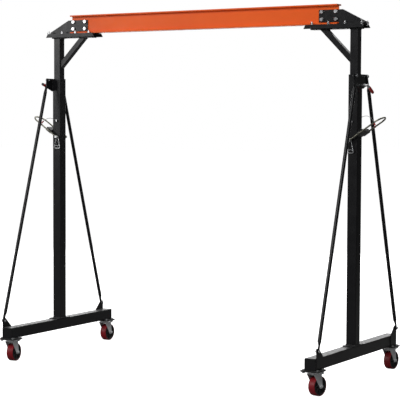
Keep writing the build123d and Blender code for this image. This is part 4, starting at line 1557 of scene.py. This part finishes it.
@dataclass
class PullPin:
    """Round pull pin with its bent handle and dipped grip."""

    layout: Layout
    side: Side
    radius: float = 0.008
    height: float = 1.928
    tip: float = 0.02865
    handle_out: float = 0.08625
    handle_length: float = 0.092
    bend: float = 0.016
    grip_radius: float = 0.0105
    grip_length: float = 0.066
    tilts: dict[Side, float] = field(default_factory=lambda: {Side.RIGHT: -30.0, Side.LEFT: 20.0})

    def build(self, paint: PaintShop) -> None:
        """Build and dress the pin, grip and grip end.

        Args:
            paint: The paint shop.
        """
        label = self.side.label
        tilt = Matrix.Rotation(math.radians(self.tilts[self.side]), 4, "X")
        put = self.layout.stand(self.side) @ Matrix.Translation((0, 0, self.height)) @ tilt
        body = label + "_pin"
        paint.dress(self.pin().finish(50.0).place(put), "zinc_bolts", body, label + "_pull_pin")
        paint.dress(self.grip().finish(50.0).place(put), "grip_red", body, label + "_pin_grip")
        paint.dress(self.grip_end().finish(50.0).place(put), "core_black", body)

    def pin(self) -> Workpiece:
        """Pin with a chamfered tip and one bend."""
        route = [(self.tip, 0, 0), (self.handle_out, 0, 0), (self.handle_out, self.handle_length, 0)]
        pin = bent_bar(self.side.label + "_pin_bar", self.radius, route, self.bend, 24, 10)
        put_down()
        pin.edges(lambda e: all(abs(v.co.x - self.tip) < 1e-5 for v in e.verts))
        return pin.bevel(0.0016, 2)

    def grip(self) -> Workpiece:
        """Dipped grip with a thick collar and soft finger rings."""
        start, end = self.handle_length - self.grip_length, self.handle_length - 0.006
        grip = Workpiece.cylinder(self.side.label + "_grip", self.grip_radius * 0.9, 0.004,
                                  (self.handle_out, start + 0.002, 0), Axis.Y, 28)
        steps = 9
        run = (end - start - 0.004) / steps
        before = 0.9
        for n in range(steps):
            swell = 1.0 if n % 2 == 0 else 0.93
            grip.facing((0, 1, 0), start + 0.001)
            grip.extrude((0, run, 0)).resize((swell / before, 1, swell / before))
            before = swell
        return grip.bevel_sharp(0.001, 3, 50.0)

    def grip_end(self) -> Workpiece:
        """Dark domed end of the grip."""
        start, end = self.handle_length - 0.007, self.handle_length + 0.003
        cap = Workpiece.cylinder(self.side.label + "_grip_end", self.grip_radius * 0.98, end - start,
                                 (self.handle_out, (start + end) / 2, 0), Axis.Y, 28)
        cap.facing((0, 1, 0)).resize((0.8, 1, 0.8))
        return cap.bevel_sharp(0.0014, 3, 30.0)


# ---------------------------------------------------------------------------------------------
# Studio
# ---------------------------------------------------------------------------------------------
@dataclass(frozen=True)
class SoftBox:
    """One soft area light."""

    name: str
    place: Point
    aim: Point
    size: tuple[float, float]
    watts: float


@dataclass
class Studio:
    """Pale floor, soft lights and the camera."""

    lens: float = 127.3
    eye: Point = (5.0916, -8.3080, 1.6936)
    yaw: float = 31.4
    pitch: float = 3.19
    roll: float = 0.22
    lights: tuple[SoftBox, ...] = (
        SoftBox("key", (-7.0, -6.6, 3.7), (-1.0, 0.0, 2.0), (4.5, 3.0), 240.0),
        SoftBox("front", (2.0, -8.0, 6.0), (0.2, 0.0, 2.0), (5.0, 3.0), 310.0),
        SoftBox("fill", (1.1, -4.2, 3.0), (-1.2, 0.0, 1.2), (2.0, 2.5), 34.0),
        SoftBox("top", (-0.5, 3.5, 6.0), (0.0, 0.0, 0.6), (6.0, 4.0), 260.0),
        SoftBox("back", (-4.0, 7.5, 1.9), (-0.5, 0.0, 0.6), (10.0, 2.6), 210.0))

    def build(self) -> None:
        """Build the floor, lights, world and camera."""
        self.floor()
        for box in self.lights:
            self.light(box)
        self.surroundings()
        self.camera()
        bpy.context.scene.view_settings.view_transform = "Standard"

    def floor(self) -> None:
        """Pale floor without edges in view."""
        put_down()
        bpy.ops.mesh.primitive_plane_add(size=120.0, location=(0, 0, 0))
        floor = Workpiece("floor")
        material = bpy.data.materials.new("pale_floor")
        material.use_nodes = True
        w = Wiring(material.node_tree)
        surface = material.node_tree.nodes["Principled BSDF"]
        surface.inputs["Roughness"].default_value = 0.9
        surface.inputs["Specular IOR Level"].default_value = 0.1
        rays = w.add("ShaderNodeLightPath")
        w.link(w.ramp(rays.outputs["Is Camera Ray"], 0.0, 1.0, 0.0, 0.96), surface.inputs["Emission Strength"])
        surface.inputs["Emission Color"].default_value = (1, 1, 1, 1)
        pale = w.mix(w.ramp(w.noise(0.4, 2.0), 0.3, 0.7), (0.90, 0.90, 0.90), (0.88, 0.88, 0.88))
        w.link(w.mix(rays.outputs["Is Camera Ray"], (0.22, 0.22, 0.22), pale), surface.inputs["Base Color"])
        floor.obj.data.materials.append(material)
        # The stands slide down out of the upper frame, so the floor goes with them.
        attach(floor.obj, "left_stand")

    @staticmethod
    def light(box: SoftBox) -> None:
        """Hang one soft box.

        Args:
            box: Its sizes.
        """
        lamp = bpy.data.lights.new(box.name, "AREA")
        lamp.shape = "RECTANGLE"
        lamp.size, lamp.size_y = box.size
        lamp.energy = box.watts
        holder = bpy.data.objects.new(box.name, lamp)
        holder.location = box.place
        aim = Vector(box.aim) - Vector(box.place)
        holder.rotation_euler = aim.to_track_quat("-Z", "Y").to_euler()
        bpy.context.scene.collection.objects.link(holder)

    @staticmethod
    def surroundings() -> None:
        """White backdrop, dimmer as a light than as it is seen."""
        world = bpy.data.worlds.new("studio")
        bpy.context.scene.world = world
        world.use_nodes = True
        w = Wiring(world.node_tree)
        seen = world.node_tree.nodes["Background"]
        seen.inputs["Color"].default_value = (1, 1, 1, 1)
        rays = w.add("ShaderNodeLightPath")
        w.link(w.ramp(rays.outputs["Is Camera Ray"], 0.0, 1.0, 0.09, 1.0), seen.inputs["Strength"])

    def camera(self) -> None:
        """Camera at eye height, looking a little down."""
        yaw, pitch, roll = (math.radians(v) for v in (self.yaw, self.pitch, self.roll))
        ahead = Vector((-math.sin(yaw) * math.cos(pitch), math.cos(yaw) * math.cos(pitch), -math.sin(pitch)))
        level = Vector((math.cos(yaw), math.sin(yaw), 0))
        up = level.cross(ahead)
        right = level * math.cos(roll) + up * math.sin(roll)
        up = up * math.cos(roll) - level * math.sin(roll)
        turn = Matrix((right, up, -ahead)).transposed().to_4x4()
        lens = bpy.data.cameras.new("camera")
        lens.lens = self.lens
        lens.sensor_width = 36.0
        lens.clip_end = 200.0
        holder = bpy.data.objects.new("camera", lens)
        holder.matrix_world = Matrix.Translation(self.eye) @ turn
        bpy.context.scene.collection.objects.link(holder)
        bpy.context.scene.camera = holder


def main() -> None:
    """Build the sub-assemblies in order, then the studio."""
    logging.basicConfig(level=logging.INFO)
    put_down()
    layout = Layout()
    paint = PaintShop()
    paint.dress_nodes()
    UpperFrame(layout).build(paint)
    for side in Side:
        Stand(layout, side).build(paint)
        JackLever(layout, side).build(paint)
        PullPin(layout, side).build(paint)
    Caster(layout).build(paint)
    Studio().build()


if __name__ == "__main__":
    main()
